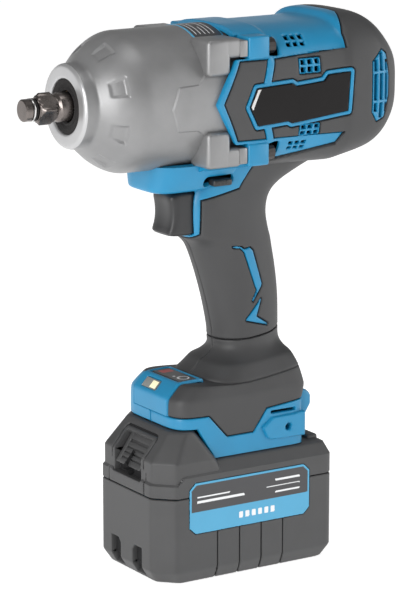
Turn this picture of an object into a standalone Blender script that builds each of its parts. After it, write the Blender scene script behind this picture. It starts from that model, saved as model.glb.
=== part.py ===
"""A cordless half-inch impact wrench, built as its separate pieces.

Sizes are in millimetres and MM turns them into Blender's metres. The nose points along -X, +Z is up and
the origin is the middle of the battery's rest face. The split between the two housing halves is Y = 0.
"""

import math

import bmesh
import bpy
from mathutils import Vector

MM = 0.001
GAP = 0.3

# The drive line, which runs along X at this height.
AXIS_Z = 265.3
DRIVE_SIDE = 12.7
DRIVE_TIP_X = -119.5
DRIVE_ROLL_DEG = 43.0
NOSE_FACE_X = -94.0
CASE_RADIUS = 38.6
CASE_REAR_X = -3.3

# Gear set: module, teeth and working faces.
MODULE = 1.25
PRESSURE_ANGLE = math.radians(25)
SUN_TEETH, PLANET_TEETH, RING_TEETH = 12, 18, 48
ADDENDUM, DEDENDUM = 0.8 * MODULE, 1.15 * MODULE
BACKLASH = 0.35
PLANET_ORBIT = MODULE * (SUN_TEETH + PLANET_TEETH) / 2
PLANET_ANGLES = [math.radians(90 + 120 * k) for k in range(3)]
GEAR_FRONT_X, GEAR_REAR_X = -29.2, -18.2

# Handle, foot and battery.
GRIP_HALF_WIDTH = 17.0
FOOT_HALF_WIDTH = 30.5
FOOT_BASE_Z = 67.5
BATTERY_LENGTH, BATTERY_WIDTH = 114.0, 72.8
BATTERY_SEAM_Z = 49.0
BATTERY_WALL_TOP_Z = 61.0
CELL_RADIUS, CELL_LENGTH, CELL_PITCH = 9.0, 65.0, 18.6

# Housing walls: rubber skin, plastic shell under it, and the cavity inside.
SKIN = 1.8
WALL = 4.8

# Barrel sections: X, half width, top, bottom.
BARREL = (
    (-24, 42.0, 306.5, 225.0),
    (58, 42.0, 306.5, 225.0),
    (64, 43.3, 308.0, 223.5),
    (80, 43.3, 308.0, 222.5),
    (86, 42.0, 305.0, 225.0),
    (92, 39.5, 299.0, 229.5),
    (98, 35.0, 292.5, 236.5),
    (101, 30.0, 288.0, 241.0),
    (102.5, 25.0, 284.0, 245.0),
)
BARREL_SQUARENESS = 3.2
REAR_CURVE_X = 80.0

# Grip sections: Z, front X, rear X, half width, squareness.
GRIP = (
    (240, -12, 82, 26.0, 3.0),
    (228, -14, 70, 24.0, 3.0),
    (221, -18, 55, 20.5, 3.0),
    (214.5, -21.5, 42, 18.0, 3.2),
    (208, -22.8, 35.5, 17.5, 3.6),
    (188, -22.5, 33.0, 17.5, 3.6),
    (183.5, -15.8, 34.2, 17.0, 2.5),
    (166, -9.7, 37.9, 17.0, 2.3),
    (150, -4.8, 39.8, 17.0, 2.3),
    (133, -1.0, 39.8, 17.0, 2.3),
    (121, 0.4, 39.4, 17.0, 2.3),
)

# Foot sections in the same order. The rear corners are squarer than the front ones, by FOOT_REAR_SQUARENESS.
FOOT_REAR_SQUARENESS = 2.6
FOOT_TOP_Z = (109.2, 108.2)
FOOT = (
    (128, 1.0, 39.2, 16.8, 2.3),
    (122.5, -0.2, 39.6, 17.6, 2.3),
    (118.8, -2.8, 40.0, 20.2, 2.4),
    (115.1, -9.5, 40.8, 23.6, 2.8),
    (FOOT_TOP_Z[0], -15.5, 42.0, 26.8, 3.4),
    (FOOT_TOP_Z[1], -33.0, 42.1, 27.2, 4.6),
    (101, -40.6, 43.1, 30.3, 5.6),
    (92, -41.2, 43.2, FOOT_HALF_WIDTH, 6.0),
    (FOOT_BASE_Z, -41.0, 43.0, FOOT_HALF_WIDTH, 6.0),
)

# The chin under the hammer case, in the same order.
CHIN = (
    (240, -48, 12, 28.0, 4.0),
    (229, -48, 12, 24.6, 4.0),
    (222, -48, 8, 21.5, 4.0),
    (217.5, -47.8, -8, 19.5, 4.0),
    (215.2, -45.5, -12, 16.5, 4.0),
)

# Side outlines in (X, Z): where the rubber lies, and where the housing stops against the hammer case.
RUBBER_OUTLINE = (
    (-60, 184.5), (-24, 184.5), (-17.2, 190), (-17, 209), (5.8, 214), (12.9, 229.8), (56, 237), (60, 243.5),
    (-9.5, 244.5), (-19, 265.4), (-8, 287.5), (14.6, 287.4), (60, 290.5), (60, 304), (63, 314), (120, 314),
    (120, 93.4), (39, 93.1), (16.3, 90.9), (7.4, 78.6), (-9.8, 78.6), (-21.5, 91.6), (-60, 91.6),
)
FRONT_CUT_OUTLINE = (
    (-70, 330), (-5.6, 330), (-5.6, 301), (-3, 300.8), (-3, 288.8), (-10.4, 288.8), (-23.6, 265.4),
    (-10.8, 242.4), (-3, 242.4), (-3, 229.9), (-70, 229.9),
)
FOOT_STEP_OUTLINE = ((-60, 60), (-60, 81.2), (-26.4, 81.2), (-17.8, FOOT_BASE_Z), (-17.8, 60))
NAMEPLATE_OUTLINE = (
    (-3.0, 262.5), (1.5, 272.5), (24.5, 273.6), (27, 271.8), (45, 273.2), (48, 276.5), (62.5, 277.2),
    (61.0, 255.6), (24.5, 251.8), (22, 253.2), (2.5, 252.0),
)

SCREW_SIDE_Y = 34.8
SCREW_RISE = 29.0
# The screws that hold the halves together: X, Z, the depth of the head and how far the post reaches.
CLAMSHELL_SCREWS = {
    "housing_screw_rear_top": (85, 292.5, 27.0, 24.0),
    "housing_screw_rear_bottom": (85, 238.0, 27.0, 24.0),
    "housing_screw_grip_top": (27, 224.0, 14.0, 17.2),
    "housing_screw_grip_bottom": (20, 133.0, 11.5, 13.0),
    "housing_screw_foot": (32, 108.0, 16.0, 15.0),
}

PARTS = "impact_wrench"

COLOURS = {
    "blue_nylon": ((0.03, 0.24, 0.58), 0.45, 0.0),
    "rubber": ((0.07, 0.07, 0.072), 0.75, 0.0),
    "cast_case": ((0.33, 0.33, 0.34), 0.42, 0.7),
    "steel": ((0.5, 0.48, 0.46), 0.3, 1.0),
    "dark_steel": ((0.12, 0.11, 0.11), 0.4, 0.9),
    "bronze": ((0.5, 0.33, 0.15), 0.4, 1.0),
    "copper": ((0.65, 0.28, 0.13), 0.35, 1.0),
    "black_plastic": ((0.03, 0.03, 0.032), 0.5, 0.0),
    "battery_plastic": ((0.06, 0.06, 0.062), 0.6, 0.0),
    "board": ((0.02, 0.16, 0.07), 0.5, 0.0),
    "felt": ((0.015, 0.015, 0.016), 0.9, 0.0),
    "label": ((0.02, 0.02, 0.024), 0.3, 0.0),
    "cell_wrap": ((0.08, 0.3, 0.42), 0.4, 0.0),
    "lens": ((0.75, 0.76, 0.72), 0.1, 0.0),
}


# ---------------------------------------------------------------- scene and materials


def clear_scene():
    for obj in list(bpy.data.objects):
        bpy.data.objects.remove(obj, do_unlink=True)


def material(slot):
    found = bpy.data.materials.get(slot)
    if found:
        return found
    colour, roughness, metallic = COLOURS[slot]
    made = bpy.data.materials.new(slot)
    made.use_nodes = True
    shader = made.node_tree.nodes["Principled BSDF"]
    shader.inputs["Base Color"].default_value = (*colour, 1)
    shader.inputs["Roughness"].default_value = roughness
    shader.inputs["Metallic"].default_value = metallic
    return made


def collection():
    found = bpy.data.collections.get(PARTS)
    if not found:
        found = bpy.data.collections.new(PARTS)
        bpy.context.scene.collection.children.link(found)
    return found


def add(name, mesh):
    obj = bpy.data.objects.new(name, mesh)
    collection().objects.link(obj)
    return obj


def finish_piece(obj, slot, sharp_deg=35):
    obj.data.materials.clear()
    obj.data.materials.append(material(slot))
    obj.data.shade_smooth()
    obj.data.set_sharp_from_angle(angle=math.radians(sharp_deg))
    return obj


# ---------------------------------------------------------------- shapes


def mesh_object(name, bm):
    """An object from a closed bmesh, with its faces made to point outwards."""
    bmesh.ops.recalc_face_normals(bm, faces=bm.faces)
    if bm.calc_volume(signed=True) < 0:
        bmesh.ops.reverse_faces(bm, faces=bm.faces)
    mesh = bpy.data.meshes.new(name)
    bm.to_mesh(mesh)
    bm.free()
    return add(name, mesh)


def box(name, low, high, bevel=0.0):
    bm = bmesh.new()
    bmesh.ops.create_cube(bm, size=1)
    middle = (Vector(low) + Vector(high)) / 2
    size = Vector(high) - Vector(low)
    for vert in bm.verts:
        vert.co = Vector(middle[i] + vert.co[i] * size[i] for i in range(3)) * MM
    if bevel:
        bmesh.ops.bevel(
            bm, geom=bm.edges[:], offset=bevel * MM, segments=1, affect="EDGES", profile=0.5
        )
    return mesh_object(name, bm)


def cylinder(name, axis, centre, start, end, radius, sides=20):
    """A cylinder along one row axis. centre gives the other two coordinates, in X, Y, Z order."""
    index = "XYZ".index(axis)
    others = [i for i in range(3) if i != index]
    bm = bmesh.new()
    bmesh.ops.create_cone(
        bm, cap_ends=True, segments=sides, radius1=radius, radius2=radius, depth=end - start
    )
    for vert in bm.verts:
        across = (vert.co.x, vert.co.y)
        place = [0.0, 0.0, 0.0]
        place[index] = vert.co.z + (start + end) / 2
        for i, offset, middle in zip(others, across, centre):
            place[i] = offset + middle
        vert.co = Vector(place) * MM
    return mesh_object(name, bm)


def ball(name, centre, radius, rings=8):
    bm = bmesh.new()
    bmesh.ops.create_uvsphere(bm, u_segments=2 * rings, v_segments=rings, radius=radius)
    for vert in bm.verts:
        vert.co = (vert.co + Vector(centre)) * MM
    return mesh_object(name, bm)


def prism(name, outline, axis, start, end):
    """An outline pushed from start to end along an axis. It holds the other two coordinates in X, Y, Z order."""
    index = "XYZ".index(axis)
    others = [i for i in range(3) if i != index]
    bm = bmesh.new()
    verts = []
    for point in outline:
        place = [0.0, 0.0, 0.0]
        place[index] = start
        place[others[0]], place[others[1]] = point
        verts.append(bm.verts.new(Vector(place) * MM))
    face = bm.faces.new(verts)
    pushed = bmesh.ops.extrude_face_region(bm, geom=[face])["geom"]
    push = [0.0, 0.0, 0.0]
    push[index] = (end - start) * MM
    moved = [item for item in pushed if isinstance(item, bmesh.types.BMVert)]
    bmesh.ops.translate(bm, verts=moved, vec=push)
    return mesh_object(name, bm)


def loft(name, rings):
    """A closed skin over rings that have the same number of points, with its ends capped."""
    bm = bmesh.new()
    loops = [[bm.verts.new(Vector(point) * MM) for point in ring] for ring in rings]
    count = len(loops[0])
    for near, far in zip(loops, loops[1:]):
        for i in range(count):
            j = (i + 1) % count
            bm.faces.new((near[i], near[j], far[j], far[i]))
    bm.faces.new(loops[0])
    bm.faces.new(loops[-1])
    bmesh.ops.triangulate(bm, faces=bm.faces)
    return mesh_object(name, bm)


def turned(name, profile, sides=20):
    """A profile of (X, radius) points turned round the drive line. It is solid if both its ends are at radius 0."""
    solid = profile[0][1] == 0 and profile[-1][1] == 0
    loop = list(profile)
    area = sum(a[1] * b[0] - b[1] * a[0] for a, b in zip(loop, loop[1:] + loop[:1]))
    if area > 0:
        loop.reverse()
    mesh = bpy.data.meshes.new(name)
    edges = [(i, i + 1) for i in range(len(loop) - 1)]
    if not solid:
        edges.append((len(loop) - 1, 0))
    mesh.from_pydata([(r * MM, 0, x * MM) for x, r in loop], edges, [])
    obj = add(name, mesh)
    screw = obj.modifiers.new("turn", "SCREW")
    screw.steps = screw.render_steps = sides
    screw.use_merge_vertices = True
    screw.merge_threshold = 0.00001
    obj.rotation_euler = (0, math.radians(90), 0)
    obj.location = (0, 0, AXIS_Z * MM)
    return baked(obj)


# ---------------------------------------------------------------- joining and cutting


def evaluated_mesh(obj):
    """A new mesh with the object's modifiers and its place worked in."""
    bpy.context.view_layer.update()
    graph = bpy.context.evaluated_depsgraph_get()
    mesh = bpy.data.meshes.new_from_object(obj.evaluated_get(graph))
    mesh.transform(obj.matrix_world)
    return mesh


def baked(obj):
    """The object with its modifiers and its place worked into its mesh, its coincident points made one."""
    mesh = evaluated_mesh(obj)
    bm = bmesh.new()
    bm.from_mesh(mesh)
    bmesh.ops.remove_doubles(bm, verts=bm.verts, dist=0.002 * MM)
    bm.to_mesh(mesh)
    bm.free()
    name = obj.name
    bpy.data.objects.remove(obj, do_unlink=True)
    return add(name, mesh)


def is_closed(mesh):
    bm = bmesh.new()
    bm.from_mesh(mesh)
    closed = all(len(edge.link_faces) == 2 for edge in bm.edges)
    bm.free()
    return closed


def combine(target, operation, tools):
    """Boolean one object with some others, which are then removed. The exact solver is tried first."""
    for tool in tools:
        modifier = target.modifiers.new(operation.lower(), "BOOLEAN")
        modifier.operation = operation
        modifier.object = tool
    mesh = evaluated_mesh(target)
    if not is_closed(mesh):
        for modifier in target.modifiers:
            modifier.solver = "MANIFOLD"
        mesh = evaluated_mesh(target)
    name = target.name
    for obj in (target, *tools):
        bpy.data.objects.remove(obj, do_unlink=True)
    return add(name, mesh)


def joined(target, *tools):
    return combine(target, "UNION", tools)


def cut(target, *tools):
    return combine(target, "DIFFERENCE", tools)


def duplicate(obj, name):
    return add(name, obj.data.copy())


def grown(outline, distance):
    """The outline with each side moved outwards. Its points run round it either way."""
    count = len(outline)
    area = sum(
        outline[i][0] * outline[(i + 1) % count][1] - outline[(i + 1) % count][0] * outline[i][1]
        for i in range(count)
    )
    side = 1 if area > 0 else -1
    points = []
    for i in range(count):
        before, here, after = (Vector(outline[(i + k) % count]) for k in (-1, 0, 1))
        first = (here - before).normalized()
        second = (after - here).normalized()
        normals = [Vector((edge.y, -edge.x)) * side for edge in (first, second)]
        across = normals[0] + normals[1]
        points.append(tuple(here + across * distance / max(0.3, across.dot(normals[0]))))
    return points


# ---------------------------------------------------------------- housing envelopes


def superellipse(half_u, half_v, squareness, sides, plus_u=1.0):
    """Points round a superellipse whose half on the +u side is plus_u times as square."""
    points = []
    for i in range(sides):
        angle = 2 * math.pi * i / sides
        cosine, sine = math.cos(angle), math.sin(angle)
        power = 2 / (squareness * (plus_u if cosine > 0 else 1.0))
        u = math.copysign(abs(cosine) ** power, cosine) * half_u
        v = math.copysign(abs(sine) ** power, sine) * half_v
        points.append((u, v))
    return points


def barrel(name, inset, front_x=None, sides=16):
    """The motor barrel. Its rounded rear end moves forwards as its walls move inwards."""
    rings = []
    for row, (x, half_width, top, bottom) in enumerate(BARREL):
        if row == 0 and front_x is not None:
            x = front_x
        x -= inset * max(0.0, x - REAR_CURVE_X) / (BARREL[-1][0] - REAR_CURVE_X)
        middle, half_height = (top + bottom) / 2, (top - bottom) / 2
        outline = superellipse(half_width - inset, half_height - inset, BARREL_SQUARENESS, sides)
        rings.append([(x, y, middle + z) for y, z in outline])
    return loft(name, rings)


def standing(name, rows, inset, sides=12, top_z=None, base_z=None, rear=1.0):
    """A loft over level sections, for the grip, the foot and the chin."""
    rings = []
    for row, (z, front_x, rear_x, half_width, squareness) in enumerate(rows):
        if row == 0 and top_z is not None:
            z = top_z
        if row == len(rows) - 1 and base_z is not None:
            z = base_z
        if z in FOOT_TOP_Z:
            z -= inset
        middle, half_length = (front_x + rear_x) / 2, (rear_x - front_x) / 2
        plus_u = rear if squareness > 3 else 1.0
        outline = superellipse(half_length - inset, half_width - inset, squareness, sides, plus_u)
        rings.append([(middle + x, y, z) for x, y in outline])
    return loft(name, rings)


def envelope(name, inset, barrel_front=-24, foot_base=FOOT_BASE_Z, sides=(16, 14)):
    """Barrel, grip and foot as one solid, its walls moved inwards by inset."""
    return joined(
        barrel(name, inset, barrel_front, sides[0]),
        standing("grip_envelope", GRIP, inset, sides[1]),
        standing("foot_envelope", FOOT, inset, sides[1], base_z=foot_base, rear=FOOT_REAR_SQUARENESS),
    )


def rear_lug(growth=0.0):
    outline = ((40, 98), (46.5, 96.8), (49.3, 93.5), (49.3, 88), (45.5, 82), (40, 80.5))
    return prism("rear_lug", grown(outline, growth), "Y", -26 - growth, 26 + growth)


def hook_pad(side):
    """The raised pad on one side of the foot that takes a belt hook and its screw."""
    outline = ((20, 85.2), (12.8, 80.4), (15.8, 74), (40.6, 72.5), (39.6, 86))
    return prism("hook_pad", outline, "Y", *sorted((side * 28, side * 32.4)))


def case_screw_places():
    return [(y * SCREW_SIDE_Y, AXIS_Z + z * SCREW_RISE) for z in (1, -1) for y in (1, -1)]


def screw_boss(y, z):
    """The block behind a hammer case lug, which a case screw passes through."""
    inner = math.copysign(26, y)
    outer = math.copysign(40.6, y)
    low_y, high_y = sorted((inner, outer))
    return box("screw_boss", (-3, low_y, z - 5.9), (10.5, high_y, z + 5.9), 1.2)


def housing_cutters():
    """Everything that is taken out of the closed housing once its cavity is open."""
    tools = [
        cylinder("case_room", "X", (0, AXIS_Z), -130, -2.7, CASE_RADIUS + 0.8, 32),
        prism("front_cut", FRONT_CUT_OUTLINE, "Y", -60, 60),
        box("trigger_room", (-60, -11.4, 189.0), (-7.2, 11.4, 214.2)),
        box("lever_room", (-19, -14.5, 213.0), (1, 14.5, 223.2)),
        box("lever_slot", (-18.9, -40, 217.2), (0.6, 40, 222.8)),
        box("chin_hollow", (-42, -14, 218.6), (-18, 14, 240)),
        prism("foot_step", FOOT_STEP_OUTLINE, "Y", -60, 60),
        box("rail_neck", (-60, -18.1, 60), (40.6, 18.1, 76.5)),
        box("rail_head", (-60, -22.9, 71.8), (40.6, 22.9, 76.5)),
        box("nub_channel", (-60, -24.4, 60), (60, 24.4, 69.4)),
        box("terminal_hole", (26.5, -19.4, 70), (40.5, 19.4, 84)),
        box("strike_pocket", (-60, -8.6, 80), (-33.4, 8.6, 85.2)),
        box("panel_room", (-60, -17.9, 91.2), (-16.9, 17.9, 120)),
        cylinder("rear_bearing_seat", "X", (0, AXIS_Z), 60, 90.4, 9.8, 24),
    ]
    for y, z in case_screw_places():
        tools.append(cylinder("case_screw_hole", "X", (y, z), -40, 14, 2.5, 8))
        tools.append(cylinder("case_screw_recess", "X", (y, z), 10.5, 18.5, 4.9, 12))
    for side in (-1, 1):
        tools.append(cylinder("hook_hole", "Y", (29.9, 78.8), *sorted((side * 24, side * 60)), 1.9, 8))
        tools.append(box("hook_slot", *side_box((19, 35.6), (29.2, 60), (87.2, 88.8), side)))
        for x in (77, 81.5, 86):
            tools.append(box("rear_vent", *side_box((x, x + 2.4), (30, 60), (252, 284), side)))
        for z in (279, 245.5):
            tools.append(box("side_vent", *side_box((30, 43), (30, 60), (z, z + 6.5), side)))
        tools.append(prism("nameplate_room", grown(NAMEPLATE_OUTLINE, GAP), "Y", *sorted((side * 40.9, side * 60))))
    return tools


def side_box(x, y, z, side):
    """Two corners of a box that lies on one side of the tool."""
    low_y, high_y = sorted((side * y[0], side * y[1]))
    return (x[0], low_y, z[0]), (x[1], high_y, z[1])


def clamshell_bosses():
    return [
        cylinder("screw_post", "Y", (x, z), -reach, reach, 4.2, 10)
        for x, z, _, reach in CLAMSHELL_SCREWS.values()
    ]


def build_housing():
    """Both plastic halves and the rubber moulded over them."""
    outer = envelope("outer", 0)
    inner_skin = envelope("inner_skin", SKIN, barrel_front=-40, foot_base=50)
    shell_skin = envelope("shell_skin", SKIN + GAP, barrel_front=-40, foot_base=50)
    cavity = envelope("cavity", WALL, barrel_front=-40, foot_base=79.2, sides=(10, 10))

    rubber = duplicate(outer, "rubber")
    rubber = combine(rubber, "INTERSECT", [prism("rubber_zone", RUBBER_OUTLINE, "Y", -70, 70)])
    rubber = cut(rubber, inner_skin, rear_lug(GAP))

    zone = prism("rubber_room", grown(RUBBER_OUTLINE, GAP), "Y", -70, 70)
    zone = cut(zone, shell_skin)
    plastic = joined(outer, standing("chin", CHIN, 0), *[screw_boss(y, z) for y, z in case_screw_places()])
    plastic = cut(plastic, zone)
    plastic = joined(plastic, rear_lug(), hook_pad(-1), hook_pad(1))
    plastic = cut(plastic, cavity)
    seat = turned("seat", [(83.5, 7.0), (99.0, 7.0), (99.0, 12.6), (83.5, 12.6)], 24)
    ribs = [turned("rib", [(x, 30.4), (x + 3, 30.4), (x + 3, 38.6), (x, 38.6)], 24) for x in (30,)]
    plastic = joined(plastic, seat, *ribs, *clamshell_bosses())

    cutters = housing_cutters()
    for x, z, head_y, _ in CLAMSHELL_SCREWS.values():
        cutters.append(cylinder("screw_hole", "Y", (x, z), -8, 60, 1.9, 8))
        cutters.append(cylinder("screw_well", "Y", (x, z), head_y, 60, 3.9, 10))
    rubber_cutters = [duplicate(tool, "rubber_cutter") for tool in cutters]
    plastic = cut(plastic, *cutters)
    rubber = cut(rubber, *rubber_cutters)

    for side, label in ((-1, "left"), (1, "right")):
        low_y, high_y = sorted((side * 0.1, side * 70))
        for source, name, slot in (
            (plastic, "housing", "blue_nylon"),
            (rubber, "grip_overmold", "rubber"),
        ):
            half = box("half", (-130, low_y, 0), (130, high_y, 330))
            piece = combine(duplicate(source, f"{name}_{label}"), "INTERSECT", [half])
            finish_piece(piece, slot)
    bpy.data.objects.remove(plastic, do_unlink=True)
    bpy.data.objects.remove(rubber, do_unlink=True)

    for name, (x, z, head_y, _) in CLAMSHELL_SCREWS.items():
        shank = cylinder(name, "Y", (x, z), -7, head_y + 1.0, 1.4, 8)
        head = cylinder("head", "Y", (x, z), head_y + GAP, head_y + 2.8, 3.2, 10)
        finish_piece(joined(shank, head), "dark_steel")


def build_nameplates():
    for side, label in ((-1, "left"), (1, "right")):
        plate = prism(f"nameplate_{label}", NAMEPLATE_OUTLINE, "Y", *sorted((side * 41.2, side * 42.3)))
        finish_piece(plate, "label")


# ---------------------------------------------------------------- hammer case and what it holds


def build_hammer_case():
    """The cast nose, its four screw lugs, and the seal and bush in its bore."""
    outside = [
        (NOSE_FACE_X, 0), (NOSE_FACE_X, 21.8), (-92.6, 23.2), (-86.2, 23.2), (-85.2, 24.4), (-83.8, 28.0),
        (-81, 32.6), (-77.4, 36.4), (-73, CASE_RADIUS - 0.2), (CASE_REAR_X, CASE_RADIUS), (CASE_REAR_X, 0),
    ]
    inside = [
        (NOSE_FACE_X - 5, 0), (NOSE_FACE_X - 5, 15.4), (-90.2, 15.4), (-90.2, 11.6), (-79.6, 11.6), (-79.6, 27.5),
        (-75.6, 33.0), (-72.4, 35.6), (20, 35.6), (20, 0),
    ]
    lugs = []
    holes = []
    for y, z in case_screw_places():
        low_y, high_y = sorted((math.copysign(22, y), math.copysign(40.3, y)))
        rise = math.copysign(1, z - AXIS_Z)
        low_z, high_z = sorted((AXIS_Z + rise * 24.0, AXIS_Z + rise * 35.0))
        lugs.append(box("lug", (-27, low_y, low_z), (CASE_REAR_X, high_y, high_z), 2.0))
        holes.append(cylinder("lug_hole", "X", (y, z), -24, 0, 2.5, 8))
    case = joined(turned("hammer_case", outside, 28), *lugs)
    case = cut(case, turned("case_inside", inside, 20), *holes)
    finish_piece(case, "cast_case")
    seal = [(-93.4, 8.7), (-93.4, 15.0), (-90.5, 15.0), (-90.5, 8.7)]
    finish_piece(turned("nose_seal", seal), "felt")
    bush = [(-90.0, 8.4), (-90.0, 11.3), (-79.9, 11.3), (-79.9, 8.4)]
    finish_piece(turned("anvil_bushing", bush), "bronze")
    for label, (y, z) in zip(("right_top", "left_top", "right_bottom", "left_bottom"), case_screw_places()):
        shank = cylinder(f"case_screw_{label}", "X", (y, z), -22, 12, 2.0, 8)
        head = cylinder("head", "X", (y, z), 10.9, 15.2, 4.4, 12)
        socket = cylinder("socket", "X", (y, z), 13.2, 16, 2.2, 6)
        finish_piece(cut(joined(shank, head), socket), "dark_steel")


def sector(name, x_front, x_rear, r_in, r_out, middle_deg, half_deg):
    """A ring sector about the drive line."""
    steps = [middle_deg + half_deg * (i / 2 - 1) for i in range(5)]
    outline = [turn_point(r_out, math.radians(angle)) for angle in steps]
    outline += [turn_point(r_in, math.radians(angle)) for angle in reversed(steps)]
    return prism(name, outline, "X", x_front, x_rear)


def turn_point(radius, angle):
    return radius * math.cos(angle), AXIS_Z + radius * math.sin(angle)


def build_anvil():
    """The square drive with its friction ring, its shank and the two wings that the hammer strikes."""
    tip = [
        (DRIVE_TIP_X, 0), (DRIVE_TIP_X, 5.4), (-118.9, 6.1), (-115.6, 6.1), (-115.6, 4.9), (-111.8, 4.9),
        (-111.0, 6.1), (-110.0, 6.2), (-101.6, 6.3), (-99.8, 6.6), (-98.8, 7.9), (-77.8, 7.9), (-77.8, 13.0),
        (-69.3, 13.0), (-69.3, 5.3), (-77.0, 5.3), (-77.0, 0),
    ]
    half = DRIVE_SIDE / 2
    square = box("square", (-111.2, -half, -half), (-100.6, half, half))
    square.rotation_euler = (math.radians(DRIVE_ROLL_DEG), 0, 0)
    square.location = (0, 0, AXIS_Z * MM)
    square = baked(square)
    cone = [(-112, 0), (-112, 6.6), (-109.6, 9.0), (-102.6, 9.0), (-100.4, 7.2), (-100.4, 0)]
    square = combine(square, "INTERSECT", [turned("chamfer", cone, 24)])
    wings = [sector("wing", -77.8, -69.3, 11.5, 28.0, middle, 19) for middle in (0, 180)]
    finish_piece(joined(turned("anvil", tip, 16), square, *wings), "steel")
    ring = [(-115.3, 5.2), (-115.3, 6.4), (-113.9, 6.4), (-113.9, 5.2)]
    finish_piece(turned("socket_ring", ring, 16), "steel")
    cushion = [(-113.6, 5.2), (-113.6, 6.2), (-112.2, 6.2), (-112.2, 5.2)]
    finish_piece(turned("ring_cushion", cushion, 16), "felt")
    washer = [(-79.3, 8.3), (-79.3, 14.0), (-78.1, 14.0), (-78.1, 8.3)]
    finish_piece(turned("anvil_washer", washer, 16), "steel")


BALL_X = -61.6
BALL_ORBIT = 9.7
BALL_RADIUS = 3.0


def build_hammer():
    """The hammer, its two cam balls, the mainspring and its seat."""
    body = [
        (-68.9, 9.5), (-68.9, 30.0), (-67.9, 31.0), (-45, 31.0), (-44, 30.0), (-44, 21.6), (-57.9, 21.6),
        (-57.9, 12.9), (-44, 12.9), (-44, 9.5),
    ]
    lugs = [sector("lug", -77.3, -66.9, 14.0, 28.0, middle, 19) for middle in (90, 270)]
    pockets = []
    for angle in (0, math.pi):
        y, z = turn_point(BALL_ORBIT, angle)
        pockets.append(cylinder("pocket", "X", (y, z), -80, -58.2, 3.4, 10))
    finish_piece(cut(joined(turned("hammer", body, 20), *lugs), *pockets), "dark_steel")
    for index, angle in enumerate((0, math.pi), 1):
        y, z = turn_point(BALL_ORBIT, angle)
        finish_piece(ball(f"cam_ball_{index}", (BALL_X, y, z), BALL_RADIUS, 5), "steel")
    seat = [(-34.6, 12.2), (-34.6, 21.2), (-33.3, 21.2), (-33.3, 12.2)]
    finish_piece(turned("spring_seat", seat), "steel")
    build_spring("hammer_spring", "X", (0, 0, AXIS_Z), -55.9, -36.6, 17.2, 1.6, 4)


def build_spring(name, axis, base, start, end, radius, wire, turns, steps=10):
    """A round-wire coil along X or Z, wound by a loop."""
    curve = bpy.data.curves.new(name, "CURVE")
    curve.dimensions = "3D"
    curve.bevel_depth = wire * MM
    curve.bevel_resolution = 1
    curve.use_fill_caps = True
    spline = curve.splines.new("POLY")
    count = turns * steps + 1
    spline.points.add(count - 1)
    for i in range(count):
        angle = 2 * math.pi * i / steps
        along = start + (end - start) * i / (count - 1)
        across = (radius * math.cos(angle), radius * math.sin(angle))
        if axis == "X":
            place = (along, base[1] + across[0], base[2] + across[1])
        else:
            place = (base[0] + across[0], base[1] + across[1], along)
        spline.points[i].co = (*(value * MM for value in place), 1)
    obj = bpy.data.objects.new(name, curve)
    collection().objects.link(obj)
    return finish_piece(baked(obj), "steel")


def build_cam_spindle():
    """The carrier that holds the planets, with the cam shaft that the hammer rides on."""
    shaft = [
        (-76.0, 0), (-76.0, 4.2), (-75.2, 5.0), (-66.4, 5.0), (-66.4, 8.3), (-65.6, 9.1), (-33.0, 9.1),
        (-33.0, 25.2), (-29.6, 25.2), (-29.6, 0),
    ]
    rear = [(-17.8, 9.7), (-17.8, 25.2), (-14.6, 25.2), (-14.6, 12.2), (-7.0, 12.2), (-7.0, 9.7)]
    posts = []
    for angle in PLANET_ANGLES:
        y, z = turn_point(PLANET_ORBIT, angle)
        posts.append(cylinder("pin", "X", (y, z), -30.5, -17.0, 3.0, 10))
        y, z = turn_point(20.5, angle + math.pi / 3)
        posts.append(cylinder("post", "X", (y, z), -30.5, -17.0, 3.6, 8))
    grooves = []
    for side in (0, math.pi):
        for lean in (-1, 1):
            groove = cylinder("groove", "X", (0, 0), -3.4, 13, BALL_RADIUS + 0.45, 8)
            groove.rotation_euler = (0, 0, math.radians(28 * lean))
            groove = baked(groove)
            groove.location = Vector((BALL_X, 0, BALL_ORBIT)) * MM
            groove = baked(groove)
            groove.rotation_euler = (side + math.pi / 2, 0, 0)
            groove.location = (0, 0, AXIS_Z * MM)
            grooves.append(baked(groove))
    spindle = joined(turned("cam_spindle", shaft, 16), turned("rear_flange", rear, 16), *posts)
    finish_piece(cut(spindle, *grooves), "steel")


# ---------------------------------------------------------------- gears


def involute(angle):
    return math.tan(angle) - angle


def half_tooth(teeth, radius, backlash):
    """Half the angle that a tooth takes up at a radius. A negative backlash widens it, for a ring's spaces."""
    pitch = MODULE * teeth / 2
    base = pitch * math.cos(PRESSURE_ANGLE)
    here = math.acos(min(1.0, base / max(radius, base)))
    return math.pi / (2 * teeth) - backlash / (2 * pitch) + involute(PRESSURE_ANGLE) - involute(here)


def gear_outline(teeth, inward, outward, backlash, phase, centre=(0, AXIS_Z), steps=2):
    pitch = MODULE * teeth / 2
    radii = [pitch - inward + (inward + outward) * i / steps for i in range(steps + 1)]
    points = []
    for tooth in range(teeth):
        middle = phase + 2 * math.pi * tooth / teeth
        flank = [(radius, half_tooth(teeth, radius, backlash)) for radius in radii]
        for radius, half in flank:
            points.append((radius, middle - half))
        for radius, half in reversed(flank):
            points.append((radius, middle + half))
    return [(centre[0] + r * math.cos(a), centre[1] + r * math.sin(a)) for r, a in points]


def planet_phase(angle, sun_phase):
    return angle + math.pi - (math.pi - SUN_TEETH * (angle - sun_phase)) / PLANET_TEETH


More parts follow.
